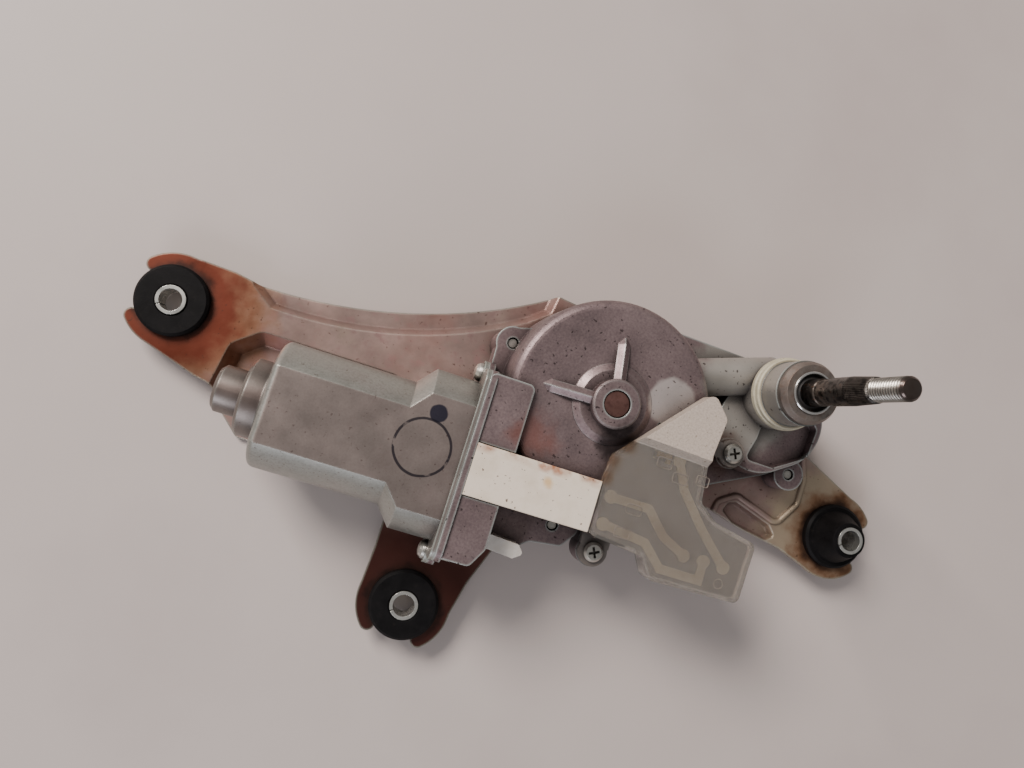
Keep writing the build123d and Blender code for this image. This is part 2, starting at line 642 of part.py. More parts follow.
shaft_end_x = rear_bearing_x[1] - body_gap
with BuildPart() as armature_shaft:
    worm_start = wheel_centre[0] - worm_pitch * worm_turns / 2
    worm_end = wheel_centre[0] + worm_pitch * worm_turns / 2
    turn_on_motor([(nose_x + 1.6 + body_gap, 0), (nose_x + 1.6 + body_gap, shaft_radius - 0.5),
                   (nose_x + 2.6, shaft_radius), (shaft_end_x - 0.5, shaft_radius),
                   (shaft_end_x, shaft_radius - 0.5), (shaft_end_x, 0)])
    turn_on_motor([(worm_start, 0), (worm_start, worm_root_radius), (worm_end, worm_root_radius),
                   (worm_end, 0)])
    for turn_number in range(worm_turns):
        x = worm_start + worm_pitch * (turn_number + 0.5)
        turn_on_motor([(x - 1.2, worm_root_radius - 0.5), (x - 1.2, worm_root_radius),
                       (x - 0.6, worm_radius),
                       (x + 0.6, worm_radius), (x + 1.2, worm_root_radius),
                       (x + 1.2, worm_root_radius - 0.5)])
save(armature_shaft, "armature_shaft")

slot_floor = 8.5
with BuildPart() as armature_core:
    with BuildSketch(across(core_x[0])) as lamination:
        Circle(core_radius)
        Circle(shaft_radius, mode=Mode.SUBTRACT)
        with PolarLocations(0, core_slots):
            with Locations((slot_floor, 0)):
                Rectangle(5.6, 4.0, align=(Align.MIN, Align.CENTER), mode=Mode.SUBTRACT)
                Rectangle(10, 1.2, align=(Align.MIN, Align.CENTER), mode=Mode.SUBTRACT)
    extrude(lamination.sketch, amount=core_x[1] - core_x[0])
save(armature_core, "armature_core")

winding_overhang = 5.0
with BuildPart() as windings:
    with BuildSketch(across(core_x[0] - winding_overhang)) as bars:
        with PolarLocations(0, core_slots):
            with Locations((slot_floor + 0.1, 0)):
                Rectangle(5.2, 3.6, align=(Align.MIN, Align.CENTER))
    extrude(bars.sketch, amount=core_x[1] - core_x[0] + 2 * winding_overhang)
    for start, end in ((core_x[0] - winding_overhang, core_x[0]), (core_x[1], core_x[1] + winding_overhang)):
        turn_on_motor([(start, 7.0), (start, 12.5), (start + 1.5, 14.5), (end - 1.5, 14.5), (end, 13.0),
                       (end, 7.0)])
save(windings, "windings")

with BuildPart() as commutator:
    turn_on_motor([(commutator_x[0] - 4, shaft_radius), (commutator_x[0] - 4, 6.0),
                   (commutator_x[0] - 1, 6.0),
                   (commutator_x[0] - 1, commutator_radius + 1.4),
                   (commutator_x[0], commutator_radius + 1.4),
                   (commutator_x[0], commutator_radius), (commutator_x[1], commutator_radius),
                   (commutator_x[1], shaft_radius)])
    with BuildSketch(across(commutator_x[0])) as slits:
        with PolarLocations(0, core_slots):
            with Locations((commutator_radius - 1.0, 0)):
                Rectangle(2.0, 0.5, align=(Align.MIN, Align.CENTER))
    extrude(slits.sketch, amount=commutator_x[1] - commutator_x[0], mode=Mode.SUBTRACT)
save(commutator, "commutator")

holder_x = (flange_x - 6.0, flange_x - 3.5)
brush_x = (flange_x - 17.5, flange_x - 11.5)
brush_inner = commutator_radius + body_gap
brush_outer = brush_inner + 8.0
spring_outer = brush_outer + 6.0
with BuildPart() as brush_holder:
    with BuildSketch(across(holder_x[0])) as holder_face:
        RectangleRounded(46, 30, 8)
        Circle(6.5, mode=Mode.SUBTRACT)
    extrude(holder_face.sketch, amount=holder_x[1] - holder_x[0])
    with BuildSketch(across(brush_x[0] - 0.5)) as guides:
        for side in (-1, 1):
            with Locations((side * (brush_inner + spring_outer + 3.0) / 2, 0)):
                Rectangle(spring_outer - brush_inner - 1.0, 9.0)
                Rectangle(spring_outer - brush_inner + 3.0, 5.2, mode=Mode.SUBTRACT)
    extrude(guides.sketch, amount=holder_x[0] - brush_x[0] + 0.5)
    with BuildSketch(across(holder_x[0] - 0.2)) as stops:
        for side in (-1, 1):
            with Locations((side * (spring_outer + 1.4), 0)):
                Rectangle(2.0, 9.0)
    extrude(stops.sketch, amount=brush_x[0] - holder_x[0])
save(brush_holder, "brush_holder")

with BuildPart() as brushes:
    with BuildSketch(across(brush_x[0])) as brush_faces:
        for side in (-1, 1):
            with Locations((side * (brush_inner + brush_outer) / 2, 0)):
                Rectangle(brush_outer - brush_inner, 5.0)
    extrude(brush_faces.sketch, amount=brush_x[1] - brush_x[0])
save(brushes, "brushes")

with BuildPart() as brush_springs:
    for side in (-1, 1):
        for coil in range(4):
            offset_y = side * (brush_outer + 0.8 + coil * 1.4)
            place = Plane(origin=((brush_x[0] + brush_x[1]) / 2, motor_y + offset_y,
                                  motor_height - datum_height),
                          z_dir=(0, 1, 0))
            with BuildSketch(place) as ring:
                Circle(2.2)
                Circle(1.5, mode=Mode.SUBTRACT)
            extrude(ring.sketch, amount=0.4, both=True)
save(brush_springs, "brush_springs")

with BuildPart() as thrust_ball:
    with Locations((shaft_end_x + body_gap + ball_radius, motor_y, motor_height - datum_height)):
        Sphere(ball_radius)
save(thrust_ball, "thrust_ball")

# ---- Worm wheel, its axle and contact disc ------------------------------------------------------------

tooth_depth = 2.2
web_low = wheel_low + 4.0
web_high = wheel_high - 4.0
hub_low = axle_low + 1.6
hub_high = chamber_roof - body_gap
with BuildPart() as worm_wheel:
    with BuildSketch(level(wheel_low)) as teeth:
        with Locations(wheel_centre):
            Circle(wheel_tip_radius - tooth_depth)
            with PolarLocations(wheel_tip_radius - tooth_depth - 0.2, wheel_teeth):
                Trapezoid(1.9, tooth_depth + 0.2, 76, rotation=-90, align=(Align.CENTER, Align.MIN))
    extrude(teeth.sketch, amount=wheel_high - wheel_low)
    rim_inner = wheel_tip_radius - tooth_depth - 3.5
    for low, high in ((wheel_low - 1, web_low), (web_high, wheel_high + 1)):
        turn(wheel_centre, [(wheel_hub_radius, low), (rim_inner, low), (rim_inner, high),
                            (wheel_hub_radius, high)],
             mode=Mode.SUBTRACT)
    turn(wheel_centre, [(0, hub_low), (wheel_hub_radius, hub_low), (wheel_hub_radius, hub_high),
                        (0, hub_high)])
    post(crank_point, 6.0, wheel_low, web_low + 1)
    post(crank_point, crank_pin_radius, wheel_low - 1, web_high, mode=Mode.SUBTRACT)
    post(wheel_centre, axle_radius + running_gap, hub_low - 1, hub_high + 1, mode=Mode.SUBTRACT)
save(worm_wheel, "worm_wheel")

with BuildPart() as crank_pin:
    turn(crank_point, [(0, rod_high + 0.5), (crank_pin_radius - 0.5, rod_high + 0.5),
                       (crank_pin_radius, rod_high + 1.0), (crank_pin_radius, web_high), (0, web_high)])
save(crank_pin, "crank_pin")

with BuildPart() as contact_disc:
    with BuildSketch(level(web_high)) as disc_shape:
        with Locations(wheel_centre):
            Circle(rim_inner)
            Circle(wheel_hub_radius, mode=Mode.SUBTRACT)
        with Locations((wheel_centre[0] - 20, wheel_centre[1])):
            Circle(3.0, mode=Mode.SUBTRACT)
    extrude(disc_shape.sketch, amount=0.8)
save(contact_disc, "contact_disc")

with BuildPart() as wheel_axle:
    turn(wheel_centre, [(0, axle_low), (axle_radius - 0.5, axle_low), (axle_radius, axle_low + 0.4),
                        (axle_radius, axle_low + 0.5), (axle_radius - 0.9, axle_low + 0.5),
                        (axle_radius - 0.9, axle_low + 1.1), (axle_radius, axle_low + 1.1),
                        (axle_radius, boss_top - 0.9), (axle_radius - 0.4, boss_top - 0.5),
                        (0, boss_top - 0.5)])
save(wheel_axle, "wheel_axle")

with BuildPart() as wheel_clip:
    with BuildSketch(level(axle_low + 0.5)) as clip_shape:
        with Locations(wheel_centre):
            Circle(axle_radius + 2.2)
            Circle(axle_radius - 0.9, mode=Mode.SUBTRACT)
        with Locations((wheel_centre[0] + 6, wheel_centre[1])):
            Rectangle(12, 5, mode=Mode.SUBTRACT)
    extrude(clip_shape.sketch, amount=0.6)
save(wheel_clip, "wheel_clip")

# ---- Crank linkage ------------------------------------------------------------------------------------

with BuildPart() as connecting_rod:
    with BuildSketch(level(rod_low)) as rod_shape:
        with Locations(crank_point, link_point):
            Circle(eye_radius)
        with Locations(Location((crank_point[0], crank_point[1], 0), (0, 0, rod_angle))):
            Rectangle(rod_length, 9.0, align=(Align.MIN, Align.CENTER))
        with Locations(crank_point):
            Circle(crank_pin_radius + running_gap, mode=Mode.SUBTRACT)
        with Locations(link_point):
            Circle(link_pin_radius + running_gap, mode=Mode.SUBTRACT)
    extrude(rod_shape.sketch, amount=rod_high - rod_low)
save(connecting_rod, "connecting_rod")

with BuildPart() as link_pin:
    turn(link_point, [(0, rod_low), (link_pin_radius, rod_low), (link_pin_radius, rod_high + body_gap),
                      (link_pin_radius + 1.5, rod_high + body_gap), (link_pin_radius + 1.5, lever_low),
                      (link_pin_radius, lever_low), (link_pin_radius, lever_high),
                      (link_pin_radius + 1.0, lever_high),
                      (link_pin_radius + 0.4, lever_high + 0.9), (0, lever_high + 0.9)])
save(link_pin, "link_pin")

with BuildPart() as output_lever:
    with BuildSketch(level(lever_low)) as lever_shape:
        with Locations(shaft_axis):
            Circle(7.6)
        with Locations(link_point):
            Circle(eye_radius)
        make_hull()
    extrude(lever_shape.sketch, amount=lever_high - lever_low)
    post(shaft_axis, 7.2, lever_low, lever_roof - body_gap)
    post(shaft_axis, output_radius, lever_low - 1, lever_roof, mode=Mode.SUBTRACT)
    post(link_point, link_pin_radius, lever_low - 1, lever_high + 1, mode=Mode.SUBTRACT)
save(output_lever, "output_lever")

# ---- Output shaft and pivot tube ----------------------------------------------------------------------

with BuildPart() as output_shaft:
    turn(shaft_axis, [(0, shaft_low), (output_radius - 0.4, shaft_low), (output_radius, shaft_low + 0.4),
                      (output_radius, groove_low), (output_radius - 0.4, groove_low + 0.4),
                      (output_radius - 0.4, seat_low - 0.4), (output_radius, seat_low),
                      (output_radius, seat_high),
                      (thread_radius + 0.4, knurl_high), (thread_radius - 0.5, knurl_high + 0.3),
                      (thread_radius - 0.5, thread_low - 0.3), (thread_radius, thread_low),
                      (thread_radius, shaft_high - 1.0), (thread_radius - 1.0, shaft_high), (0, shaft_high)])
save(output_shaft, "output_shaft")

bush_levels = {"lower": lever_roof + 1.0, "upper": tube_high - 1.5 - bush_length}
for place, bush_low in bush_levels.items():
    with BuildPart() as bush:
        turn(shaft_axis, [(output_radius + running_gap, bush_low), (bush_radius, bush_low),
                          (bush_radius, bush_low + bush_length),
                          (output_radius + running_gap, bush_low + bush_length)])
    save(bush, f"{place}_bush")

seal_radius = 7.6
with BuildPart() as barrel_cap:
    turn(shaft_axis, [(seal_radius, tube_high), (tube_radius - 0.5, tube_high),
                      (tube_radius - 0.5, cap_high - 2.4),
                      (tube_radius - 1.9, cap_high), (seal_radius, cap_high)])
save(barrel_cap, "barrel_cap")

with BuildPart() as shaft_seal:
    turn(shaft_axis, [(output_radius + 0.08, tube_high + 0.2), (seal_radius, tube_high + 0.2),
                      (seal_radius, cap_high),
                      (seal_radius - 0.9, cap_high), (seal_radius - 1.4, cap_high - 0.8),
                      (output_radius + 0.08, cap_high - 0.3)])
save(shaft_seal, "shaft_seal")

with BuildPart() as snap_ring:
    turn(shaft_axis, [(seal_radius - 0.8, cap_high), (seal_radius + 0.3, cap_high),
                      (seal_radius + 0.3, cap_high + 0.6),
                      (seal_radius, cap_high + 0.9), (seal_radius - 0.5, cap_high + 0.9),
                      (seal_radius - 0.8, cap_high + 0.6)])
save(snap_ring, "snap_ring")

with BuildPart() as pivot_collar:
    turn(shaft_axis, [(collar_bore, collar_low), (collar_bore + 1.7, collar_low),
                      (collar_bore + 1.7, collar_low + 1.8),
                      (collar_bore + 1.2, collar_low + 2.3), (collar_bore + 1.2, collar_high - 0.5),
                      (collar_bore + 0.7, collar_high), (collar_bore, collar_high)])
save(pivot_collar, "pivot_collar")

# ---- Terminal tray, busbars, fingers, pins and cover --------------------------------------------------


def below_crease(low, high, mode):
    """Everything on the wide panel's side of the crease, between two heights, with a sloping edge."""
    prism([crease[0], crease[1], (30, -38.8), (30, -120), (-100, -120), (-100, -35.6)], low, high, taper=-35,
          mode=mode)


tray_outline = inset(cover_outline, cover_wall + 0.2)
with BuildPart() as terminal_tray:
    prism(tray_outline, tray_low, tray_low + tray_thickness, radius=1.6)
    # shroud of the socket, open towards the rear
    with BuildSketch(level(socket_low)) as shroud:
        with Locations(socket_centre):
            RectangleRounded(*socket_size, 2)
    extrude(shroud.sketch, amount=tray_low - socket_low)
    with BuildSketch(level(socket_low)) as mouth:
        with Locations(socket_centre):
            RectangleRounded(socket_size[0] - 2 * socket_wall, socket_size[1] - 2 * socket_wall, 1)
    extrude(mouth.sketch, amount=tray_low - 3.0 - socket_low, mode=Mode.SUBTRACT)
    # ears under the two screws, each on a short drop wall
    ear_low = [height - 2.0 for height in tray_screw_heights]
    box_between((-60, -48.5), (-73.8, -72.3), (ear_low[0], tray_low))
    box_between((-60, -48.5), (-78, -72.3), (ear_low[0], ear_low[0] + 2.0))
    post(tray_screws[0], 5.7, ear_low[0], ear_low[0] + 2.0)
    drop_x = wheel_centre[0] + drum_radius - 0.7
    box_between((drop_x, drop_x + 1.2), (-31.5, -25.5), (ear_low[1], tray_low))
    box_between((drop_x, -14), (-31.5, -25.5), (ear_low[1], ear_low[1] + 2.0))
    post(tray_screws[1], 5.2, ear_low[1], ear_low[1] + 2.0)
    for point, low in zip(tray_screws, ear_low):
        post(point, 2.1, low - 1, low + 3, mode=Mode.SUBTRACT)
    # slot over the contact fingers
    box_between((finger_point[0] - 4, finger_point[0] + 4), (finger_point[1] - 6, finger_point[1] + 6),
                (tray_low - 1, tray_low + 2), mode=Mode.SUBTRACT)
save(terminal_tray, "terminal_tray")

with BuildPart() as tray_screws_pair:
    for point, height in zip(tray_screws, tray_screw_heights):
        turn(point, [(0, height - 11.0), (1.4, height - 11.0), (1.9, height - 10.4), (1.9, height),
                     (3.8, height),
                     (3.8, height + 1.4), (2.9, height + 2.5), (0, height + 2.7)])
        with BuildSketch(level(height + 1.1)) as cross:
            with Locations(Location((point[0], point[1], 0), (0, 0, 25))):
                Rectangle(4.2, 0.9)
                Rectangle(0.9, 4.2)
        extrude(cross.sketch, amount=2.0, mode=Mode.SUBTRACT)
save(tray_screws_pair, "tray_screws")

bar_low = tray_low + tray_thickness
bar_thickness = 0.8
bar_width = 3.2
pin_points = [(socket_centre[0] + dx, socket_centre[1]) for dx in (-8.0, 0.0, 8.0)]
bar_routes = [
    [(-59.0, -58.0), (-44.0, -58.0), (-36.0, -66.0), pin_points[0]],
    [(-59.0, -68.0), (-42.0, -70.0), (-34.0, -77.5), (pin_points[1][0], -77.5), pin_points[1]],
    [(-38.0, -38.0), (-33.0, -48.0), (-22.0, -60.0), pin_points[2]],
]
with BuildPart() as busbars:
    for route in bar_routes:
        with BuildSketch(level(bar_low)) as bar:
            with BuildLine() as bar_line:
                Polyline(*route)
            trace(bar_line.line, line_width=bar_width)
            with Locations(route[0], route[-1]):
                Circle(2.4)
        extrude(bar.sketch, amount=bar_thickness)
save(busbars, "busbars")

with BuildPart() as connector_pins:
    for point in pin_points:
        box_between((point[0] - 1.2, point[0] + 1.2), (point[1] - 0.4, point[1] + 0.4),
                    (socket_low + 6, tray_low - 3))
save(connector_pins, "connector_pins")

finger_low = web_high + 0.8 + body_gap
with BuildPart() as contact_fingers:
    for step in (-1, 0, 1):
        y = finger_point[1] + step * 4.0
        box_between((finger_point[0] - 3.0, finger_point[0] + 3.0), (y - 1.0, y + 1.0),
                    (bar_low, bar_low + 0.5))
        box_between((finger_point[0] - 3.0, finger_point[0] - 2.4), (y - 1.0, y + 1.0),
                    (finger_low, bar_low + 0.5))
        box_between((finger_point[0] - 6.0, finger_point[0] - 2.4), (y - 1.0, y + 1.0),
                    (finger_low, finger_low + 0.5))
    box_between((finger_point[0] + 1.0, finger_point[0] + 3.0),
                (finger_point[1] - 6.5, finger_point[1] + 6.5),
                (bar_low, bar_low + 0.5))
save(contact_fingers, "contact_fingers")


def cover_form(distance, drop, low, mode):
    """The cover's body: a wide panel with a raised corner over the drum."""
    points = inset(cover_outline, distance) if distance else cover_outline
    with BuildPart(mode=Mode.PRIVATE) as form:
        prism(points, low, cover_raised - drop, radius=2.5 - distance)
        below_crease(cover_high - drop, cover_raised + 5, Mode.SUBTRACT)
    add(form.part, mode=mode)


with BuildPart() as terminal_cover:
    cover_form(0, 0, tray_low, Mode.ADD)
    cover_form(cover_wall, cover_wall, tray_low - 1, Mode.SUBTRACT)
    # deeper skirt round the socket end
    with BuildPart(mode=Mode.PRIVATE) as skirt:
        prism(cover_outline, tray_low - 6.0, tray_low, radius=2.5)
        prism(inset(cover_outline, cover_wall), tray_low - 7.0, tray_low + 1.0, radius=1.3,
              mode=Mode.SUBTRACT)
        box_between((-100, 30), (-60.5, 20), (tray_low - 7.0, tray_low + 1.0), mode=Mode.SUBTRACT)
        box_between((-100, -42.5), (-120, 20), (tray_low - 7.0, tray_low + 1.0), mode=Mode.SUBTRACT)
    add(skirt.part)
save(terminal_cover, "terminal_cover")

# ---- Lead cover, leads and breather -------------------------------------------------------------------

with BuildPart() as lead_cover:
    box_between(strip_x, strip_y, (strip_low, strip_high))
    fillet(lead_cover.edges().filter_by(Axis.X).group_by(Axis.Z)[-1], radius=0.4)
    box_between((strip_x[0] - 1, strip_x[1] + 1), (strip_y[0] + 1.2, strip_y[1] - 1.2),
                (strip_low - 1, strip_high - 1.2), mode=Mode.SUBTRACT)
save(lead_cover, "lead_cover")

with BuildPart() as leads:
    for y in (strip_y[0] + 4.4, strip_y[1] - 4.4):
        box_between((flange_x + 3, strip_x[1] - 0.5), (y - 1.6, y + 1.6),
                    (strip_low, strip_low + bar_thickness))
save(leads, "leads")

with BuildPart() as breather:
    prism([(box_end_x, -89.5), (-84, -90.5), (-80.5, -88.0), (-83, -85.0), (box_end_x, -84.0)], lug_top,
          lug_top + 7, radius=1.2)
save(breather, "breather")
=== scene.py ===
# %% [markdown]
# # Tailgate wiper motor
# The object is a car's rear wiper motor: a small electric motor, a worm gearbox in a die-cast housing, a
# pivot tube with the wiper's shaft, a plug socket under a clouded cover, and a sheet-steel bracket on three
# rubber mounts. The solid pieces with their true sizes come from the CAD model. This lesson gives them
# their surfaces, and adds the details that a surface of two parameters makes best, such as the shaft's
# thread and knurl.
#
# Everything is in metres in one frame: the origin is in the middle of the wiper arm's seat, +Z runs out
# along the wiper shaft, and +X runs along the motor.

import bmesh
import bpy
import numpy as np
from mathutils import Matrix, Vector


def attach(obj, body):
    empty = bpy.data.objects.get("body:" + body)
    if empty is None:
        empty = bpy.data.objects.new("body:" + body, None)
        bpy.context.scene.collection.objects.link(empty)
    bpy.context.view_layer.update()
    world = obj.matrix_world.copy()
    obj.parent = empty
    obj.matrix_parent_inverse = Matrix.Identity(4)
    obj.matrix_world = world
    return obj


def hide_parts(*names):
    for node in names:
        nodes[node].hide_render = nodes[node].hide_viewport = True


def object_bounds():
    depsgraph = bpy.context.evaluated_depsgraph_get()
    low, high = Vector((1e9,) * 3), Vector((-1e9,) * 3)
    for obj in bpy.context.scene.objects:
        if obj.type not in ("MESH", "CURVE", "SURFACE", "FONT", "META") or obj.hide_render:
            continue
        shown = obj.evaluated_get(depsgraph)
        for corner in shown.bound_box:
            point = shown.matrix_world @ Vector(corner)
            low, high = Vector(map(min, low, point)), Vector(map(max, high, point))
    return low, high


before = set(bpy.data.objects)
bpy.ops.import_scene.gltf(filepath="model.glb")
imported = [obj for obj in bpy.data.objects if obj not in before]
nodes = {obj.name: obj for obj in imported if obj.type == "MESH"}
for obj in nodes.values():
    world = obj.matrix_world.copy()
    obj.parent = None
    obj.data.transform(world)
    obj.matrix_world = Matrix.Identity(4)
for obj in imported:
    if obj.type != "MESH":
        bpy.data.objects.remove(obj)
cad_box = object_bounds()
for plain in list(bpy.data.materials):
    bpy.data.materials.remove(plain)
print("CAD pieces:", len(nodes))

# %% [markdown]
# ## Colours and nodes
# A colour picker gives sRGB codes, but shaders count light linearly, so one function turns every code into
# linear values. A second small function adds a shader node, sets it and links it. Two such helpers keep
# every material below down to the lines that say what that surface is made of.

# %% Colour and node helpers
MM = 0.001


def linear(code):
    """Turns an sRGB hex code into the linear red, green, blue and alpha that shaders expect."""
    parts = [int(code[i:i + 2], 16) / 255 for i in (1, 3, 5)]
    return tuple(c / 12.92 if c <= 0.04045 else ((c + 0.055) / 1.055) ** 2.4 for c in parts) + (1.0,)


def add(tree, kind, inputs=None, stops=None, **settings):
    """Adds one node. Each input takes a value or another node's output, and stops fill a colour ramp."""
    made = tree.nodes.new(kind)
    for name, value in settings.items():
        setattr(made, name, value)
    for index, (position, colour) in enumerate(stops or []):
        element = made.color_ramp.elements[index] if index < 2 else made.color_ramp.elements.new(position)
        element.position = position
        element.color = colour
    for key, value in (inputs or {}).items():
        if isinstance(value, bpy.types.NodeSocket):
            tree.links.new(value, made.inputs[key])
        else:
            made.inputs[key].default_value = value
    return made


print("bright zinc in linear values:", [round(c, 3) for c in linear("#c9c8c2")])

# %% [markdown]
# ## What used metal has in common
# Every surface here is old: its tone changes in patches, its corners get painted shade with grime, its edges
# get painted highlights with wear, and fine grit or casting skin breaks up the shine. Each of those is one
# short function that returns a socket, so that a material can lay them over each other. Patterns read Object
# coordinates, which are the CAD frame in metres, so a pattern's scale is 1000 divided by its size in
# millimetres.

# %% Building blocks of a worn surface
BLACK = (0, 0, 0, 1)
WHITE = (1, 1, 1, 1)


def begin(name, metallic, roughness):
    """Starts a material and returns it with its tree, its shader and its Object coordinates."""
    material = bpy.data.materials.new(name)
    material.use_nodes = True
    tree = material.node_tree
    shader = tree.nodes["Principled BSDF"]
    shader.inputs["Metallic"].default_value = metallic
    shader.inputs["Roughness"].default_value = roughness
    place = add(tree, "ShaderNodeTexCoord").outputs["Object"]
    return material, tree, shader, place


def patches(tree, place, size_mm, tones, detail=6.0):
    """Patches of several tones: smooth noise of that size, spread over a ramp of the tones."""
    noise = add(tree, "ShaderNodeTexNoise", {"Vector": place, "Scale": 1000 / size_mm, "Detail": detail,
                                             "Roughness": 0.6})
    steps = np.linspace(0.3, 0.7, len(tones))
    stops = [(float(step), linear(tone)) for step, tone in zip(steps, tones)]
    return add(tree, "ShaderNodeValToRGB", {"Fac": noise.outputs["Fac"]}, stops).outputs["Color"]


def flecks(tree, place, size_mm, low, high):
    """A mask of scattered flecks: noise of that size, cut so that only what is above low shows."""
    noise = add(tree, "ShaderNodeTexNoise", {"Vector": place, "Scale": 1000 / size_mm, "Detail": 3.0})
    ramp = add(tree, "ShaderNodeValToRGB", {"Fac": noise.outputs["Fac"]}, [(low, BLACK), (high, WHITE)])
    return ramp.outputs["Color"]


def around(tree, place, point_mm, near_mm, far_mm, ragged_mm=2.0):
    """A mask that is 1 near an upright line through a point and 0 far from it, with a ragged edge."""
    flat = add(tree, "ShaderNodeVectorMath", {0: place, 1: (1, 1, 0)}, operation="MULTIPLY").outputs[0]
    centre = (point_mm[0] * MM, point_mm[1] * MM, 0.0)
    gap = add(tree, "ShaderNodeVectorMath", {0: flat, 1: centre}, operation="DISTANCE").outputs["Value"]
    noise = add(tree, "ShaderNodeTexNoise", {"Vector": place, "Scale": 160.0, "Detail": 4.0})
    shift = add(tree, "ShaderNodeMath", {0: noise.outputs["Fac"], 1: ragged_mm * 4 * MM, 2: gap},
                operation="MULTIPLY_ADD").outputs[0]
    start, end = (near_mm + ragged_mm * 2) * MM, (far_mm + ragged_mm * 2) * MM
    return add(tree, "ShaderNodeMapRange", {"Value": shift, "From Min": start, "From Max": end,
                                            "To Min": 1.0, "To Max": 0.0},
               interpolation_type="SMOOTHSTEP").outputs[0]


def corner_shade_and_grime(tree, reach_mm, low=0.45, high=0.95):
    """A mask where painted shade with grime goes: inner corner areas, where nearby surface hides part of the
    sky.
    """
    hidden = add(tree, "ShaderNodeAmbientOcclusion", {"Distance": reach_mm * MM}, samples=6)
    ramp = add(tree, "ShaderNodeValToRGB", {"Fac": hidden.outputs["AO"]}, [(low, WHITE), (high, BLACK)])
    return ramp.outputs["Color"]


def edge_wear_and_highlight(tree, reach_mm, low=0.55, high=0.9):
    """A mask of outer edges for painted highlights and wear: seen from inside the metal, an edge hides
    little.
    """
    hidden = add(tree, "ShaderNodeAmbientOcclusion", {"Distance": reach_mm * MM}, samples=6, inside=True)
    ramp = add(tree, "ShaderNodeValToRGB", {"Fac": hidden.outputs["AO"]}, [(low, WHITE), (high, BLACK)])
    return ramp.outputs["Color"]


def coat(tree, below, above, mask, share=1.0):
    """A second colour over the first where the mask is white; the share sets how strong it is there."""
    above = linear(above) if isinstance(above, str) else above
    strength = add(tree, "ShaderNodeMath", {0: mask, 1: share}, operation="MULTIPLY").outputs[0]
    return add(tree, "ShaderNodeMix", {0: strength, 6: below, 7: above}, data_type="RGBA").outputs[2]


def relief(tree, shader, place, size_mm, depth_mm, edge_mm=0.0):
    """Grit or casting skin as bumps of that size and depth, over edges that are rounded by a bevel."""
    noise = add(tree, "ShaderNodeTexNoise", {"Vector": place, "Scale": 1000 / size_mm, "Detail": 4.0})
    bump = add(tree, "ShaderNodeBump", {"Height": noise.outputs["Fac"], "Distance": depth_mm * MM,
                                        "Strength": 1.0})
    if edge_mm:
        soft = add(tree, "ShaderNodeBevel", {"Radius": edge_mm * MM}, samples=4)
        tree.links.new(soft.outputs["Normal"], bump.inputs["Normal"])
    tree.links.new(bump.outputs["Normal"], shader.inputs["Normal"])


def uneven_shine(tree, shader, place, size_mm, smooth, rough):
    """Roughness that wanders between two values in patches of that size."""
    noise = add(tree, "ShaderNodeTexNoise", {"Vector": place, "Scale": 1000 / size_mm, "Detail": 3.0})
    spread = add(tree, "ShaderNodeMapRange", {"Value": noise.outputs["Fac"], "From Min": 0.3, "From Max": 0.7,
                                              "To Min": smooth, "To Max": rough})
    tree.links.new(spread.outputs[0], shader.inputs["Roughness"])


finishes = {}


def keep(material, tree, shader, colour):
    """Links the finished colour and remembers the material under its name."""
    tree.links.new(colour, shader.inputs["Base Color"])
    finishes[material.name] = material
    print("finish:", material.name, "with", len(tree.nodes), "nodes")


# %% [markdown]
# ## The gear housing: die-cast aluminium
# The housing is cast in a steel mould from an aluminium alloy. Its skin is grey with a faint violet tint,
# smooth in patches and grainy in others, and years in a damp tailgate left dark specks. Painted shade
# with greasy grime darkens every corner, painted highlights with wear brighten the edges, and a painted
# shadow lies beside the wheel's boss. A metal shader with a middling roughness gives the soft sheen, and
# fine bumps give the casting skin.

# %% Die-cast aluminium
material, tree, shader, place = begin("die_cast_aluminium", 0.75, 0.5)
skin = patches(tree, place, 22, ["#695a5d", "#7d6c6e", "#887778", "#746365"])
grain = patches(tree, place, 0.9, ["#625456", "#867573", "#9a8a87"], 2.0)
colour = coat(tree, skin, grain, 0.35)
rubbed_wedge, pivot_arm, rust_bloom = (-46.5, -18.5), (-12, -4), (-93, -46)
boss_shadow_spot, screw_ear = (-61, -39), (-14, -28.5)
colour = coat(tree, colour, "#c9c0bc", around(tree, place, rubbed_wedge, 8, 10, 1.0), 0.85)
colour = coat(tree, colour, "#b3b1a9", around(tree, place, pivot_arm, 20, 28, 3), 0.75)
colour = coat(tree, colour, "#8a5246", around(tree, place, rust_bloom, 2, 13, 4), 0.55)
# Painted highlights with wear on the outer edges, then painted shade with grime in the corners.
colour = coat(tree, colour, "#c9d2ce", edge_wear_and_highlight(tree, 0.9), 0.8)
colour = coat(tree, colour, "#2c2424", corner_shade_and_grime(tree, 7), 0.8)
colour = coat(tree, colour, "#33292a", flecks(tree, place, 1.6, 0.66, 0.69), 0.8)
# A painted shadow: a near-black patch beside the boss, to its lower right.
colour = coat(tree, colour, "#1c1616", around(tree, place, boss_shadow_spot, 3, 12, 4), 0.85)
colour = coat(tree, colour, "#6a4a3c", around(tree, place, screw_ear, 4, 12, 3), 0.5)
uneven_shine(tree, shader, place, 14, 0.36, 0.6)
relief(tree, shader, place, 0.7, 0.05, edge_mm=0.5)
keep(material, tree, shader, colour)

# %% [markdown]
# ## The bracket: yellow zinc plated steel
# The bracket is pressed from 2 mm sheet and zinc plated with a yellow chromate coat. Age has turned the
# coat to a pinkish beige with a weak shimmer, and around the rubber mounts, where water stays, it has burnt
# to orange, brown and nearly black. Masks around the three mount centres lay those tones over each other.

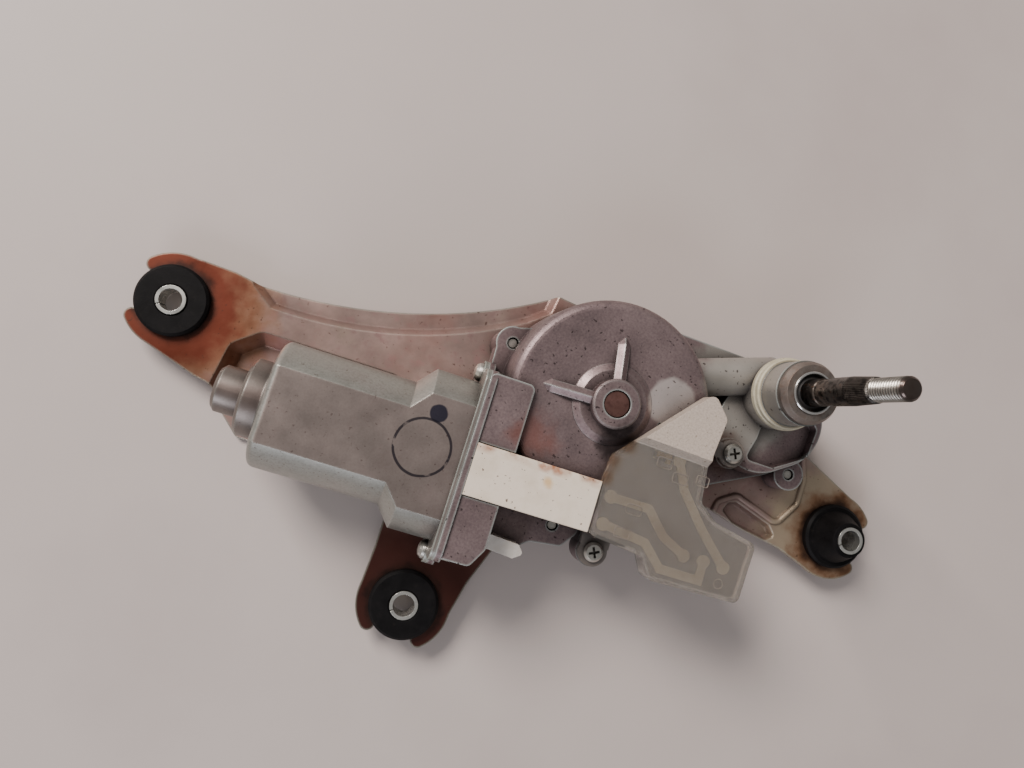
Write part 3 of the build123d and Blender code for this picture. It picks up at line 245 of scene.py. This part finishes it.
# %% Yellow zinc plated steel
mounts = {"left": (-232.3, -37.5), "lower": (-114.6, -122.0), "right": (52.8, -46.3)}
material, tree, shader, place = begin("yellow_zinc_plated_steel", 0.7, 0.42)
zinc = patches(tree, place, 30, ["#8f7472", "#a58480", "#967a78", "#a68e82"])
film = patches(tree, place, 7, ["#8f7570", "#a7958a", "#978a7e", "#a2837c"], 3.0)
colour = coat(tree, zinc, film, 0.45)
colour = coat(tree, colour, "#85554a", flecks(tree, place, 26, 0.50, 0.68), 0.5)
rust = {"left": ("#93694a", 26, 44, "#66281a", 19, 34), "lower": ("#5c342c", 44, 66, "#44221c", 20, 48),
        "right": ("#b0a088", 24, 38, "#80583c", 14, 23)}
for name, (outer, near, far, inner, inner_near, inner_far) in rust.items():
    colour = coat(tree, colour, outer, around(tree, place, mounts[name], near, far, 5), 0.85)
    colour = coat(tree, colour, inner, around(tree, place, mounts[name], inner_near, inner_far, 4), 0.9)
    colour = coat(tree, colour, "#1c1210", around(tree, place, mounts[name], 12, 17, 3), 0.85)
# Painted highlights with wear on the outer edges, then painted shade with grime in the corners.
colour = coat(tree, colour, "#c3cabb", edge_wear_and_highlight(tree, 0.9), 0.55)
colour = coat(tree, colour, "#40302a", corner_shade_and_grime(tree, 5), 0.6)
colour = coat(tree, colour, "#4a2f24", flecks(tree, place, 1.4, 0.67, 0.72), 0.7)
uneven_shine(tree, shader, place, 18, 0.3, 0.5)
relief(tree, shader, place, 1.2, 0.02, edge_mm=1.1)
keep(material, tree, shader, colour)

# %% [markdown]
# ## The motor's can: satin zinc
# The can is deep drawn from zinc plated steel, so it is smoother than the housing: a light grey, finely
# speckled, with painted greenish highlights on its bevels, a painted reflection of darker pinkish tone on
# its upward faces, and painted shade with grime in its corners. A plain ring of ink and a dot are the
# maker's check marks, drawn here without any letters. Each is a distance from a point compared with a
# radius.

# %% Satin zinc plated can with its ink marks
material, tree, shader, place = begin("satin_zinc_can", 0.8, 0.42)
body = patches(tree, place, 26, ["#8b8c86", "#9c9d96", "#928a86"])
grain = patches(tree, place, 0.8, ["#7f7c78", "#9a9994", "#aaa9a4"], 2.0)
colour = coat(tree, body, grain, 0.4)
# Faces that point up get a painted reflection: a darker, pinkish tone. The same mask keeps the ink ring on
# the top.
upward = add(tree, "ShaderNodeSeparateXYZ",
             {0: add(tree, "ShaderNodeNewGeometry").outputs["Normal"]}).outputs["Z"]
top = add(tree, "ShaderNodeMapRange", {"Value": upward, "From Min": 0.93, "From Max": 0.995}).outputs[0]
colour = coat(tree, colour, "#85736e", top, 0.7)
along = add(tree, "ShaderNodeSeparateXYZ", {0: place}).outputs["X"]
nose = add(tree, "ShaderNodeMapRange", {"Value": along, "From Min": -0.1865, "From Max": -0.1850,
                                        "To Min": 1.0, "To Max": 0.0}).outputs[0]
colour = coat(tree, colour, "#6c605b", nose, 0.75)
# Painted greenish highlights with wear on the bevels' edges, then painted shade with grime in the corners.
colour = coat(tree, colour, "#ccd6cd", edge_wear_and_highlight(tree, 0.9), 0.7)
colour = coat(tree, colour, "#352d2b", corner_shade_and_grime(tree, 6), 0.7)
colour = coat(tree, colour, "#5c4b46", flecks(tree, place, 1.2, 0.66, 0.71), 0.6)
ink_dot, stamp_centre = (-127.0, -48.2), (-128.9, -61.0)
colour = coat(tree, colour, "#1c1f33", around(tree, place, ink_dot, 2.9, 3.5, 0.4), 0.9)
stamp_outer = around(tree, place, stamp_centre, 10.3, 10.6, 0.15)
stamp_inner = around(tree, place, stamp_centre, 9.4, 9.7, 0.15)
ring = add(tree, "ShaderNodeMath", {0: stamp_outer, 1: stamp_inner}, operation="SUBTRACT").outputs[0]
worn = flecks(tree, place, 5, 0.34, 0.42)
ring = add(tree, "ShaderNodeMath", {0: ring, 1: worn}, operation="MULTIPLY").outputs[0]
ring = add(tree, "ShaderNodeMath", {0: ring, 1: top}, operation="MULTIPLY").outputs[0]
colour = coat(tree, colour, "#211f2a", ring, 0.85)
uneven_shine(tree, shader, place, 12, 0.32, 0.5)
relief(tree, shader, place, 0.6, 0.02, edge_mm=0.6)
keep(material, tree, shader, colour)

# %% [markdown]
# ## Rubber, clouded plastic and moulded plastics
# The mounts are nitrile rubber, matt black with pale dust. The terminal cover is moulded from a clear
# plastic that has clouded, so light passes but shapes behind it blur: transmission with a high roughness
# does that. Its raised corner is frosted further and looks solid beige. The strip over the leads is cream
# with a rust stain along it.

# %% Rubber
material, tree, shader, place = begin("nitrile_rubber", 0.0, 0.55)
shader.inputs["Specular IOR Level"].default_value = 0.12
colour = patches(tree, place, 6, ["#080708", "#0f0e0f", "#161415"])
colour = coat(tree, colour, "#3a332f", flecks(tree, place, 2.5, 0.62, 0.78), 0.15)
relief(tree, shader, place, 0.8, 0.03, edge_mm=0.3)
keep(material, tree, shader, colour)

material, tree, shader, place = begin("seal_rubber", 0.0, 0.5)
colour = patches(tree, place, 3, ["#0c0b0c", "#191616", "#2a201c"])
relief(tree, shader, place, 0.6, 0.03)
keep(material, tree, shader, colour)

# %% Clouded cover
material, tree, shader, place = begin("clouded_polycarbonate", 0.0, 0.2)
haze = patches(tree, place, 12, ["#e0d6cc", "#efe8df", "#e6ddd4"])
grit = patches(tree, place, 0.9, ["#b8aea2", "#dcd7cf", "#e6e2dd"], 2.0)
colour = coat(tree, haze, grit, 0.3)
across = add(tree, "ShaderNodeVectorMath", {0: place, 1: (0.0327, 0.9995, 0.0)}, operation="DOT_PRODUCT")
corner = add(tree, "ShaderNodeMapRange", {"Value": across.outputs["Value"], "From Min": -0.0385,
                                          "From Max": -0.0375}).outputs[0]
frost = coat(tree, patches(tree, place, 0.7, ["#a3968a", "#c4b6a9", "#d2c7bb"], 3.0), "#beb0a3", 0.4)
colour = coat(tree, colour, frost, corner)
for spot in ((-58.5, -38.5), (-62.5, -45.5), (-64, -52)):
    colour = coat(tree, colour, "#b07c3a", around(tree, place, spot, 1, 5, 1.5), 0.6)
colour = coat(tree, colour, "#6d5a4a", flecks(tree, place, 1.3, 0.66, 0.7), 0.5)
clear = add(tree, "ShaderNodeMapRange", {"Value": corner, "To Min": 0.89, "To Max": 0.1}).outputs[0]
tree.links.new(clear, shader.inputs["Transmission Weight"])
shader.inputs["IOR"].default_value = 1.45
relief(tree, shader, place, 1.4, 0.012, edge_mm=0.4)
keep(material, tree, shader, colour)

# %% Cream strip, tray and white plastic
material, tree, shader, place = begin("cream_strip_plastic", 0.0, 0.42)
colour = patches(tree, place, 14, ["#d9c9b6", "#e8dac8", "#e0d2c0"])
upper = add(tree, "ShaderNodeSeparateXYZ", {0: place}).outputs["Y"]
edge = add(tree, "ShaderNodeMapRange", {"Value": upper, "From Min": -0.0570, "From Max": -0.0545}).outputs[0]
blotch = flecks(tree, place, 7, 0.42, 0.6)
edge = add(tree, "ShaderNodeMath", {0: edge, 1: blotch}, operation="MULTIPLY").outputs[0]
colour = coat(tree, colour, "#9a5a2c", edge, 0.7)
near_stain = around(tree, place, (-84.5, -55.0), 4, 8, 3)
stain = add(tree, "ShaderNodeMath", {0: edge, 1: near_stain}, operation="MULTIPLY").outputs[0]
colour = coat(tree, colour, "#a4551c", stain)
colour = coat(tree, colour, "#cf9f45", around(tree, place, (-83.2, -59.5), 0.5, 2.6, 1.4), 0.6)
colour = coat(tree, colour, "#4a3026", flecks(tree, place, 1.2, 0.68, 0.71), 0.8)
relief(tree, shader, place, 1.5, 0.01, edge_mm=0.3)
keep(material, tree, shader, colour)

material, tree, shader, place = begin("tray_nylon", 0.0, 0.5)
colour = patches(tree, place, 5, ["#5f5854", "#716963", "#7d756e"])
# Painted shade with grime in the tray's corners.
colour = coat(tree, colour, "#2a2523", corner_shade_and_grime(tree, 3), 0.6)
relief(tree, shader, place, 0.8, 0.02, edge_mm=0.3)
keep(material, tree, shader, colour)

material, tree, shader, place = begin("black_nylon", 0.0, 0.5)
colour = patches(tree, place, 5, ["#171516", "#232021", "#2c2827"])
relief(tree, shader, place, 0.8, 0.02)
keep(material, tree, shader, colour)

material, tree, shader, place = begin("white_polypropylene", 0.0, 0.45)
colour = patches(tree, place, 5, ["#c6bfb6", "#d7d1c9", "#cfc6ba"])
# Painted shade with grime in the corners.
colour = coat(tree, colour, "#6b5548", corner_shade_and_grime(tree, 2), 0.5)
relief(tree, shader, place, 0.8, 0.02, edge_mm=0.3)
keep(material, tree, shader, colour)

material, tree, shader, place = begin("cream_acetal", 0.0, 0.42)
colour = patches(tree, place, 6, ["#a59e86", "#b9b29c", "#aba48c"])
# Painted shade with grime in the corners.
colour = coat(tree, colour, "#5b4a3c", corner_shade_and_grime(tree, 2.5), 0.7)
colour = coat(tree, colour, "#6d5a44", flecks(tree, place, 1.5, 0.62, 0.7), 0.5)
relief(tree, shader, place, 1.0, 0.02, edge_mm=0.3)
keep(material, tree, shader, colour)

# %% [markdown]
# ## Small steel, copper and bronze pieces
# The rest are metals that differ in tone, shine and grime, so they come from one list: three tones, the
# grain's size in millimetres, the roughness, the dark tone of painted shade with grime in corners, and how
# much of it sits there. Each name says what it is.

# %% Small metals
small_metals = {
    "bright_zinc_sleeve": (["#b9b9b4", "#d2d2cd", "#c4c3bd"], 2.0, 0.28, "#5a4a40", 0.5),
    "zinc_plated_screw": (["#a5a39c", "#c4c2bb", "#b3aea6"], 1.5, 0.32, "#2e2723", 0.9),
    "pressed_zinc_sheet": (["#97958d", "#a8a69e", "#9c958c"], 8.0, 0.42, "#4a3f38", 0.6),
    "sintered_bronze": (["#6e5536", "#8b6b42", "#7c603c"], 0.6, 0.5, "#2c2118", 0.5),
    "ground_steel": (["#8d8b88", "#a5a3a0", "#99968f"], 1.0, 0.25, "#3a3330", 0.4),
    "enamelled_copper": (["#7c3a1c", "#a4532a", "#8f4724"], 0.9, 0.35, "#2c140c", 0.7),
    "turned_copper": (["#a56840", "#c0835a", "#8f5a38"], 1.2, 0.3, "#3a2418", 0.5),
    "stamped_brass": (["#a88a4c", "#c2a564", "#b09356"], 2.5, 0.3, "#4c3a20", 0.4),
    "tinned_busbar": (["#dccfb4", "#efe4cc", "#e2d6bc"], 4.0, 0.4, "#6a5c48", 0.3),
    "stained_axle_steel": (["#5b3f3c", "#7a5a54", "#6b4c46"], 2.0, 0.42, "#2a1d1a", 0.6),
    "spring_steel": (["#8f8f90", "#a9a9aa", "#9b9a98"], 1.5, 0.3, "#3a3432", 0.4),
    "polished_ball_steel": (["#b8b8ba", "#c9c9cb", "#c0c0c2"], 2.0, 0.12, "#3a3634", 0.3),
    "zinc_plated_link": (["#8e8b84", "#a3a098", "#98938a"], 6.0, 0.4, "#3c342e", 0.5),
    "pivot_tube_cap": (["#6b605a", "#8d857f", "#7d6c62"], 1.6, 0.5, "#2a1e18", 0.6),
    "chromed_ring": (["#b3b2b0", "#cfcecc", "#c2c1bf"], 2.0, 0.16, "#3a302a", 0.4),
    "ferrite_magnet": (["#2b2a2b", "#3a3838", "#323031"], 0.8, 0.7, "#151414", 0.3),
    "laminated_core": (["#3d3c3d", "#4d4b4c", "#454344"], 0.5, 0.5, "#1b1a1a", 0.5),
    "brush_carbon": (["#19191a", "#242425", "#1f1e1f"], 0.5, 0.6, "#0d0d0d", 0.3),
}
dull = ("ferrite_magnet", "brush_carbon")
for name, (tones, grain_mm, rough, shade_grime_tone, shade_grime_share) in small_metals.items():
    material, tree, shader, place = begin(name, 0.0 if name in dull else 0.9, rough)
    colour = patches(tree, place, grain_mm * 4, tones)
    colour = coat(tree, colour, patches(tree, place, grain_mm, tones, 3.0), 0.4)
    # The dark tone is painted shade with grime in the corners.
    colour = coat(tree, colour, shade_grime_tone, corner_shade_and_grime(tree, 2.5), shade_grime_share)
    uneven_shine(tree, shader, place, grain_mm * 3, rough * 0.8, min(rough * 1.3, 1.0))
    relief(tree, shader, place, grain_mm, 0.015, edge_mm=0.2)
    keep(material, tree, shader, colour)

# %% [markdown]
# ## The worm wheel
# The wheel inside the drum is moulded from acetal, a slippery ivory plastic that runs quietly on a steel
# worm. It is smeared with grease, which a darker, shinier patch pattern gives.

# %% Greased acetal
material, tree, shader, place = begin("greased_acetal", 0.0, 0.35)
colour = patches(tree, place, 8, ["#d8d0b8", "#c4b892", "#dfd9c6"])
colour = coat(tree, colour, "#6d5a34", flecks(tree, place, 9, 0.5, 0.65), 0.5)
uneven_shine(tree, shader, place, 9, 0.18, 0.45)
relief(tree, shader, place, 2.0, 0.03)
keep(material, tree, shader, colour)

# %% [markdown]
# ## Give every CAD piece its finish
# A carried-over piece keeps its mesh and only gets a material in place of the plain one.

# %% Assign the finishes
wears = {
    "bracket": "yellow_zinc_plated_steel", "gear_housing": "die_cast_aluminium",
    "motor_yoke": "satin_zinc_can",
    "rear_cover": "pressed_zinc_sheet", "terminal_cover": "clouded_polycarbonate",
    "terminal_tray": "tray_nylon", "lead_cover": "cream_strip_plastic", "breather": "white_polypropylene",
    "pivot_collar": "cream_acetal", "barrel_cap": "pivot_tube_cap", "shaft_seal": "seal_rubber",
    "snap_ring": "chromed_ring", "magnets": "ferrite_magnet", "armature_core": "laminated_core",
    "windings": "enamelled_copper", "commutator": "turned_copper", "brush_holder": "black_nylon",
    "brushes": "brush_carbon", "brush_springs": "spring_steel", "thrust_ball": "polished_ball_steel",
    "armature_shaft": "ground_steel", "worm_wheel": "greased_acetal", "crank_pin": "ground_steel",
    "link_pin": "ground_steel", "wheel_axle": "stained_axle_steel", "wheel_clip": "spring_steel",
    "contact_disc": "stamped_brass", "contact_fingers": "stamped_brass", "leads": "stamped_brass",
    "connector_pins": "stamped_brass", "busbars": "tinned_busbar", "connecting_rod": "zinc_plated_link",
    "output_lever": "zinc_plated_link", "output_shaft": "ground_steel",
}
for name in nodes:
    if name.startswith("grommet"):
        wears[name] = "nitrile_rubber"
    elif name.startswith("sleeve"):
        wears[name] = "bright_zinc_sleeve"
    elif name.endswith("screws"):
        wears[name] = "zinc_plated_screw"
    elif name.endswith(("bearing", "bush")):
        wears[name] = "sintered_bronze"
for name, piece in nodes.items():
    piece.data.materials.clear()
    piece.data.materials.append(finishes[wears[name]])
print("finished CAD pieces:", len(wears))

# %% [markdown]
# ## The wiper shaft
# On the real shaft, a knurled cone grips the wiper arm and an M8 thread takes its nut. Both are turned
# shapes whose radius also changes around the axis, so one function of height and angle can make them: the
# knurl adds a row of small ridges, and the thread adds one ridge that climbs as it turns. A grid of heights
# and angles gives the points.

# %% A surface turned about the wiper shaft
def grid_faces(rows, columns):
    """Quads between neighbouring rows of a grid whose columns close into a ring."""
    row, column = np.meshgrid(np.arange(rows - 1), np.arange(columns), indexing="ij")
    right = (column + 1) % columns
    quads = np.stack([row * columns + column, row * columns + right,
                      (row + 1) * columns + right, (row + 1) * columns + column], axis=-1)
    return quads.reshape(-1, 4)


def end_fans(rows, columns):
    """Triangles that close the grid's first and last rows, each fan meeting in one added point."""
    ring = np.arange(columns)
    after = (ring + 1) % columns
    centre = np.full(columns, rows * columns)
    last = (rows - 1) * columns
    first_fan = np.stack([after, ring, centre], axis=-1)
    last_fan = np.stack([ring + last, after + last, centre + 1], axis=-1)
    return np.concatenate([first_fan, last_fan])


def make_mesh(name, points, faces, finish, body, slot, smooth_degrees=40):
    """Puts points in millimetres and faces into a closed mesh that rides on a body and wears a finish."""
    mesh = bpy.data.meshes.new(name)
    mesh.from_pydata((points * MM).tolist(), [], faces)
    shell = bmesh.new()
    shell.from_mesh(mesh)
    bmesh.ops.recalc_face_normals(shell, faces=shell.faces)
    open_edges = sum(not edge.is_manifold for edge in shell.edges)
    print(name, "has", len(shell.faces), "faces,", open_edges, "open edges and a volume of",
          round(shell.calc_volume(signed=True) / MM ** 3, 2), "cubic mm")
    shell.to_mesh(mesh)
    shell.free()
    piece = bpy.data.objects.new(name, mesh)
    bpy.context.scene.collection.objects.link(piece)
    mesh.materials.append(finishes[finish])
    mesh.polygons.foreach_set("use_smooth", np.ones(len(mesh.polygons), dtype=bool))
    mesh.set_sharp_from_angle(angle=np.radians(smooth_degrees))
    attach(piece, body)
    return piece


def turned(heights, columns, radius):
    """Points of a closed turned body: x and y are radius(height, angle) times cosine and sine of the angle.
    One point on the axis at each end closes it with a fan of triangles."""
    angle = np.linspace(0, 2 * np.pi, columns, endpoint=False)
    height, turn = np.meshgrid(heights, angle, indexing="ij")
    reach = radius(height, turn)
    points = np.stack([reach * np.cos(turn), reach * np.sin(turn), height], axis=-1).reshape(-1, 3)
    ends = [[0, 0, heights[0]], [0, 0, heights[-1]]]
    faces = grid_faces(len(heights), columns).tolist() + end_fans(len(heights), columns).tolist()
    return np.concatenate([points, ends]), faces


# %% Finishes of the shaft
material, tree, shader, place = begin("greasy_wiper_shaft", 0.85, 0.38)
height = add(tree, "ShaderNodeSeparateXYZ", {0: place}).outputs["Z"]
colour = patches(tree, place, 3, ["#1c1917", "#3a3532", "#282321", "#151210"])
rusty = add(tree, "ShaderNodeMapRange", {"Value": height, "From Min": -0.0135,
                                         "From Max": -0.0115}).outputs[0]
bare = add(tree, "ShaderNodeMapRange", {"Value": height, "From Min": -0.0060,
                                        "From Max": -0.0050}).outputs[0]
colour = coat(tree, colour, patches(tree, place, 2.5, ["#2e2621", "#6c645d", "#463830"]), rusty)
colour = coat(tree, colour, patches(tree, place, 4, ["#3b3836", "#57524e", "#47423f"]), bare)
colour = coat(tree, colour, "#0d0b0a", flecks(tree, place, 2.2, 0.5, 0.6), 0.8)
colour = coat(tree, colour, "#6a4a36", flecks(tree, place, 1.3, 0.62, 0.68), 0.5)
uneven_shine(tree, shader, place, 4, 0.22, 0.5)
relief(tree, shader, place, 1.6, 0.12)
keep(material, tree, shader, colour)

material, tree, shader, place = begin("knurled_steel", 0.9, 0.34)
colour = patches(tree, place, 3, ["#312e2c", "#57534f", "#433f3c"])
# Painted highlights with wear on the knurl's ridges, and painted shade with grime in its grooves below.
colour = coat(tree, colour, "#9a968f", edge_wear_and_highlight(tree, 0.25), 0.7)
colour = coat(tree, colour, "#0f0d0c", flecks(tree, place, 2.2, 0.52, 0.62), 0.7)
colour = coat(tree, colour, "#1f1b19", corner_shade_and_grime(tree, 0.6), 0.7)
keep(material, tree, shader, colour)

material, tree, shader, place = begin("bright_thread_steel", 0.95, 0.25)
colour = patches(tree, place, 4, ["#8f8a82", "#b8b3ab", "#a39d94"])
# Painted shade with grime in the thread's grooves.
colour = coat(tree, colour, "#2a221e", corner_shade_and_grime(tree, 0.8, 0.5, 0.98), 0.9)
height = add(tree, "ShaderNodeSeparateXYZ", {0: place}).outputs["Z"]
tip = add(tree, "ShaderNodeMapRange", {"Value": height, "From Min": 0.0300, "From Max": 0.0325}).outputs[0]
colour = coat(tree, colour, "#3c2a26", tip, 0.85)
relief(tree, shader, place, 0.6, 0.01)
keep(material, tree, shader, colour)

# %% Plain length, knurl and thread
def shaft_radius(height, turn):
    """The plain shaft is 5 mm in radius, 4.6 in the groove, with 0.4 mm bevels between."""
    levels = [-61.0, -60.6, -12.6, -12.2, -5.4, -5.0, 5.0]
    radii = [4.6, 5.0, 5.0, 4.6, 4.6, 5.0, 5.0]
    return np.interp(height, levels, radii)


def knurl_radius(height, turn):
    """A cone from 5 to 4.4 mm, with 48 straight ridges: a triangle wave around, faded in at both ends."""
    cone = np.interp(height, [5.0, 16.5], [5.0, 4.4])
    wave = np.abs((turn * 48 / (2 * np.pi)) % 1 - 0.5) * 2
    depth = 0.32 * np.interp(height, [5.0, 5.8, 16.0, 16.5], [0, 1, 1, 0.4])
    return cone - depth * wave


def thread_radius(height, turn):
    """A 4 mm thread of 1.25 mm pitch: the ridge's phase is height over pitch minus the share of a turn."""
    phase = (height / 1.25 - turn / (2 * np.pi)) % 1
    ridge = np.clip(np.abs(phase - 0.5) * 2.6 - 0.2, 0, 1)
    outer = np.interp(height, [16.5, 17.3, 32.0, 33.0], [3.5, 4.0, 4.0, 3.1])
    return np.minimum(4.0 - 0.72 * ridge, outer)


shaft_heights = np.array([-61.0, -60.6, -12.6, -12.2, -5.4, -5.0, 5.0])
knurl_heights = np.array([5.0, 5.8, 8.0, 12.0, 16.0, 16.5])
thread_heights = np.linspace(16.5, 33.0, 200)
shaft = make_mesh("wiper_shaft_plain", *turned(shaft_heights, 72, shaft_radius),
                  "greasy_wiper_shaft", "output", "wiper_shaft_steel")
knurl = make_mesh("wiper_shaft_knurl", *turned(knurl_heights, 288, knurl_radius),
                  "knurled_steel", "output", "wiper_shaft_steel", 180)
thread = make_mesh("wiper_shaft_thread", *turned(thread_heights, 72, thread_radius),
                   "bright_thread_steel", "output", "wiper_shaft_steel", 60)
for piece in (shaft, knurl, thread):
    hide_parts("output_shaft")

# %% [markdown]
# ## Marks on the terminal cover
# The cover has small moulded frames over the welds of its bars, and a small ring near its lower corner. On
# the real cover, lettering fills some of them, and it is left out here. A small profile is carried along a
# closed path: a superellipse, whose power makes it a circle at 2 and nearly a rectangle at 6.

# %% Finish of the frames
material, tree, shader, place = begin("raised_frame_plastic", 0.0, 0.4)
colour = patches(tree, place, 2, ["#5c534c", "#83796f", "#70665e"])
keep(material, tree, shader, colour)


# %% A moulded frame
def moulded_frame(centre, half_size, power, height, width=0.35, rise=0.22, steps=64):
    """Points of a raised frame. The path is |x/a|^n + |y/b|^n = 1, and a low arch is carried along it."""
    angle = np.linspace(0, 2 * np.pi, steps, endpoint=False)
    cosine, sine = np.cos(angle), np.sin(angle)
    path = np.stack([half_size[0] * np.sign(cosine) * np.abs(cosine) ** (2 / power),
                     half_size[1] * np.sign(sine) * np.abs(sine) ** (2 / power)], axis=-1)
    tangent = np.roll(path, -1, axis=0) - np.roll(path, 1, axis=0)
    tangent /= np.linalg.norm(tangent, axis=1, keepdims=True)
    outward = np.stack([tangent[:, 1], -tangent[:, 0]], axis=-1)
    sweep = np.linspace(0, 2 * np.pi, 8, endpoint=False)
    ring = path[None] + outward[None] * (np.cos(sweep) * width / 2)[:, None, None]
    flat = ring + np.array(centre)
    up = np.repeat((height + np.sin(sweep) * rise)[:, None, None], steps, axis=1)
    return np.concatenate([flat, up], axis=-1).reshape(-1, 3), len(sweep), steps


def torus_faces(rings, steps):
    """Quads of a grid that closes both ways."""
    ring, step = np.meshgrid(np.arange(rings), np.arange(steps), indexing="ij")
    after, beyond = (ring + 1) % rings, (step + 1) % steps
    quads = np.stack([ring * steps + step, after * steps + step, after * steps + beyond,
                      ring * steps + beyond], -1)
    return quads.reshape(-1, 4)


panel_level = -27.5
frames = [((-43.9, -40.6), (2.9, 1.8)), ((-36.7, -44.4), (2.9, 1.8)), ((-50.1, -60.0), (2.9, 1.8)),
          ((-28.2, -42.8), (2.4, 1.8)), ((-52.0, -69.0), (2.9, 1.8))]
parts = [moulded_frame(centre, half, 6, panel_level) for centre, half in frames]
parts.append(moulded_frame((-11.6, -76.5), (1.7, 1.7), 2, panel_level))
count = len(parts[0][0])
points = np.concatenate([part[0] for part in parts])
faces = np.concatenate([torus_faces(part[1], part[2]) + index * count for index, part in enumerate(parts)])
make_mesh("cover_frames", points, faces.tolist(), "raised_frame_plastic", "base", "clouded_plastic")

# %% [markdown]
# ## Brush springs
# Each carbon brush is pushed on to the commutator by a small coil spring. A spring is a thin tube carried
# along a helix, so its points come from the helix's angle and the tube's own angle.

# %% Two coil springs
def coil(start, end, radius, wire, turns, steps_per_turn=20, sides=8):
    """A tube along a helix about a line parallel to Y: x and z go round as y advances."""
    along = np.linspace(0, 1, turns * steps_per_turn + 1)
    around_tube = np.linspace(0, 2 * np.pi, sides, endpoint=False)
    angle = along * turns * 2 * np.pi
    y = start[1] + (end[1] - start[1]) * along
    reach = radius + wire * np.cos(around_tube)[None, :]
    x = start[0] + reach * np.cos(angle)[:, None]
    z = start[2] + reach * np.sin(angle)[:, None]
    points = np.stack([x, y[:, None] + wire * np.sin(around_tube)[None, :], z], axis=-1)
    ends = points[[0, -1]].mean(axis=1)
    faces = grid_faces(len(points), sides).tolist() + end_fans(len(points), sides).tolist()
    return np.concatenate([points.reshape(-1, 3), ends]), faces


wire = 0.28
seats = np.array([vertex.co for vertex in nodes["brush_springs"].data.vertices]) / MM
halfway = (seats[:, 1].min() + seats[:, 1].max()) / 2
for side, seat in {"lower": seats[seats[:, 1] < halfway], "upper": seats[seats[:, 1] > halfway]}.items():
    low, high = seat.min(axis=0), seat.max(axis=0)
    middle = (low + high) / 2
    start, end = (middle[0], low[1] + wire, middle[2]), (middle[0], high[1] - wire, middle[2])
    spring = make_mesh("brush_spring_" + side, *coil(start, end, (high[0] - low[0]) / 2 - wire, wire, 7),
                       "spring_steel", "base", "spring_steel")
    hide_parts("brush_springs")

# %% [markdown]
# ## Floor, light and camera
# The object lies on a pale sheet, lit by one large soft light from the upper left, with a weaker one
# opposite and a pale sky, so that the shadows fall to the lower right and stay soft. The camera looks
# almost straight down from about 30 cm, turned a little, which makes the tall wiper shaft lean outwards.

# %% Floor
floor_mesh = bpy.data.meshes.new("floor")
floor_level = cad_box[0][2] - 0.0003
reach = 3.0
square = [(-reach, -reach), (reach, -reach), (reach, reach), (-reach, reach)]
floor_mesh.from_pydata([(x, y, floor_level) for x, y in square], [], [(0, 1, 2, 3)])
floor = bpy.data.objects.new("floor", floor_mesh)
bpy.context.scene.collection.objects.link(floor)
material, tree, shader, place = begin("pale_painted_board", 0.0, 0.55)
colour = patches(tree, place, 240, ["#b6aaa6", "#bfb4af", "#bbb0ab"])
keep(material, tree, shader, colour)
floor_mesh.materials.append(material)

# %% Lights
def soft_light(name, position, target, size, power, colour):
    """A square area light at a position, turned towards a target."""
    data = bpy.data.lights.new(name, "AREA")
    data.shape = "SQUARE"
    data.size = size
    data.energy = power
    data.color = linear(colour)[:3]
    light = bpy.data.objects.new(name, data)
    bpy.context.scene.collection.objects.link(light)
    light.location = position
    light.rotation_euler = (Vector(target) - Vector(position)).to_track_quat("-Z", "Y").to_euler()
    print(name, "light:", power, "W over", size, "m")


middle_of_object = (-0.09, -0.05, -0.04)
soft_light("window", (-1.50, 1.00, 1.45), middle_of_object, 0.9, 76.0, "#fff6f0")
soft_light("low_fill", (-0.50, -1.90, 1.10), middle_of_object, 1.0, 18.0, "#f2f4ff")
world = bpy.data.worlds.new("pale_room")
world.use_nodes = True
sky = world.node_tree.nodes["Background"]
sky.inputs["Color"].default_value = linear("#d9d6d4")
sky.inputs["Strength"].default_value = 0.4
bpy.context.scene.world = world

# %% Camera
camera_data = bpy.data.cameras.new("camera")
camera_data.lens = 27.07
camera_data.sensor_width = 36.0
camera_data.clip_start = 0.01
camera = bpy.data.objects.new("camera", camera_data)
bpy.context.scene.collection.objects.link(camera)
eye = Vector((-0.1462, -0.0539, 0.238))
ahead = (Vector((-0.1055, -0.0305, -0.030)) - eye).normalized()
image_up = Vector((-0.3096, 0.9502, 0.0358))
right = ahead.cross(image_up).normalized()
up = right.cross(ahead)
camera.matrix_world = Matrix.Translation(eye) @ Matrix((right, up, -ahead)).transposed().to_4x4()
bpy.context.scene.camera = camera
print("camera height over the floor in mm:", round((eye.z - floor_level) / MM))
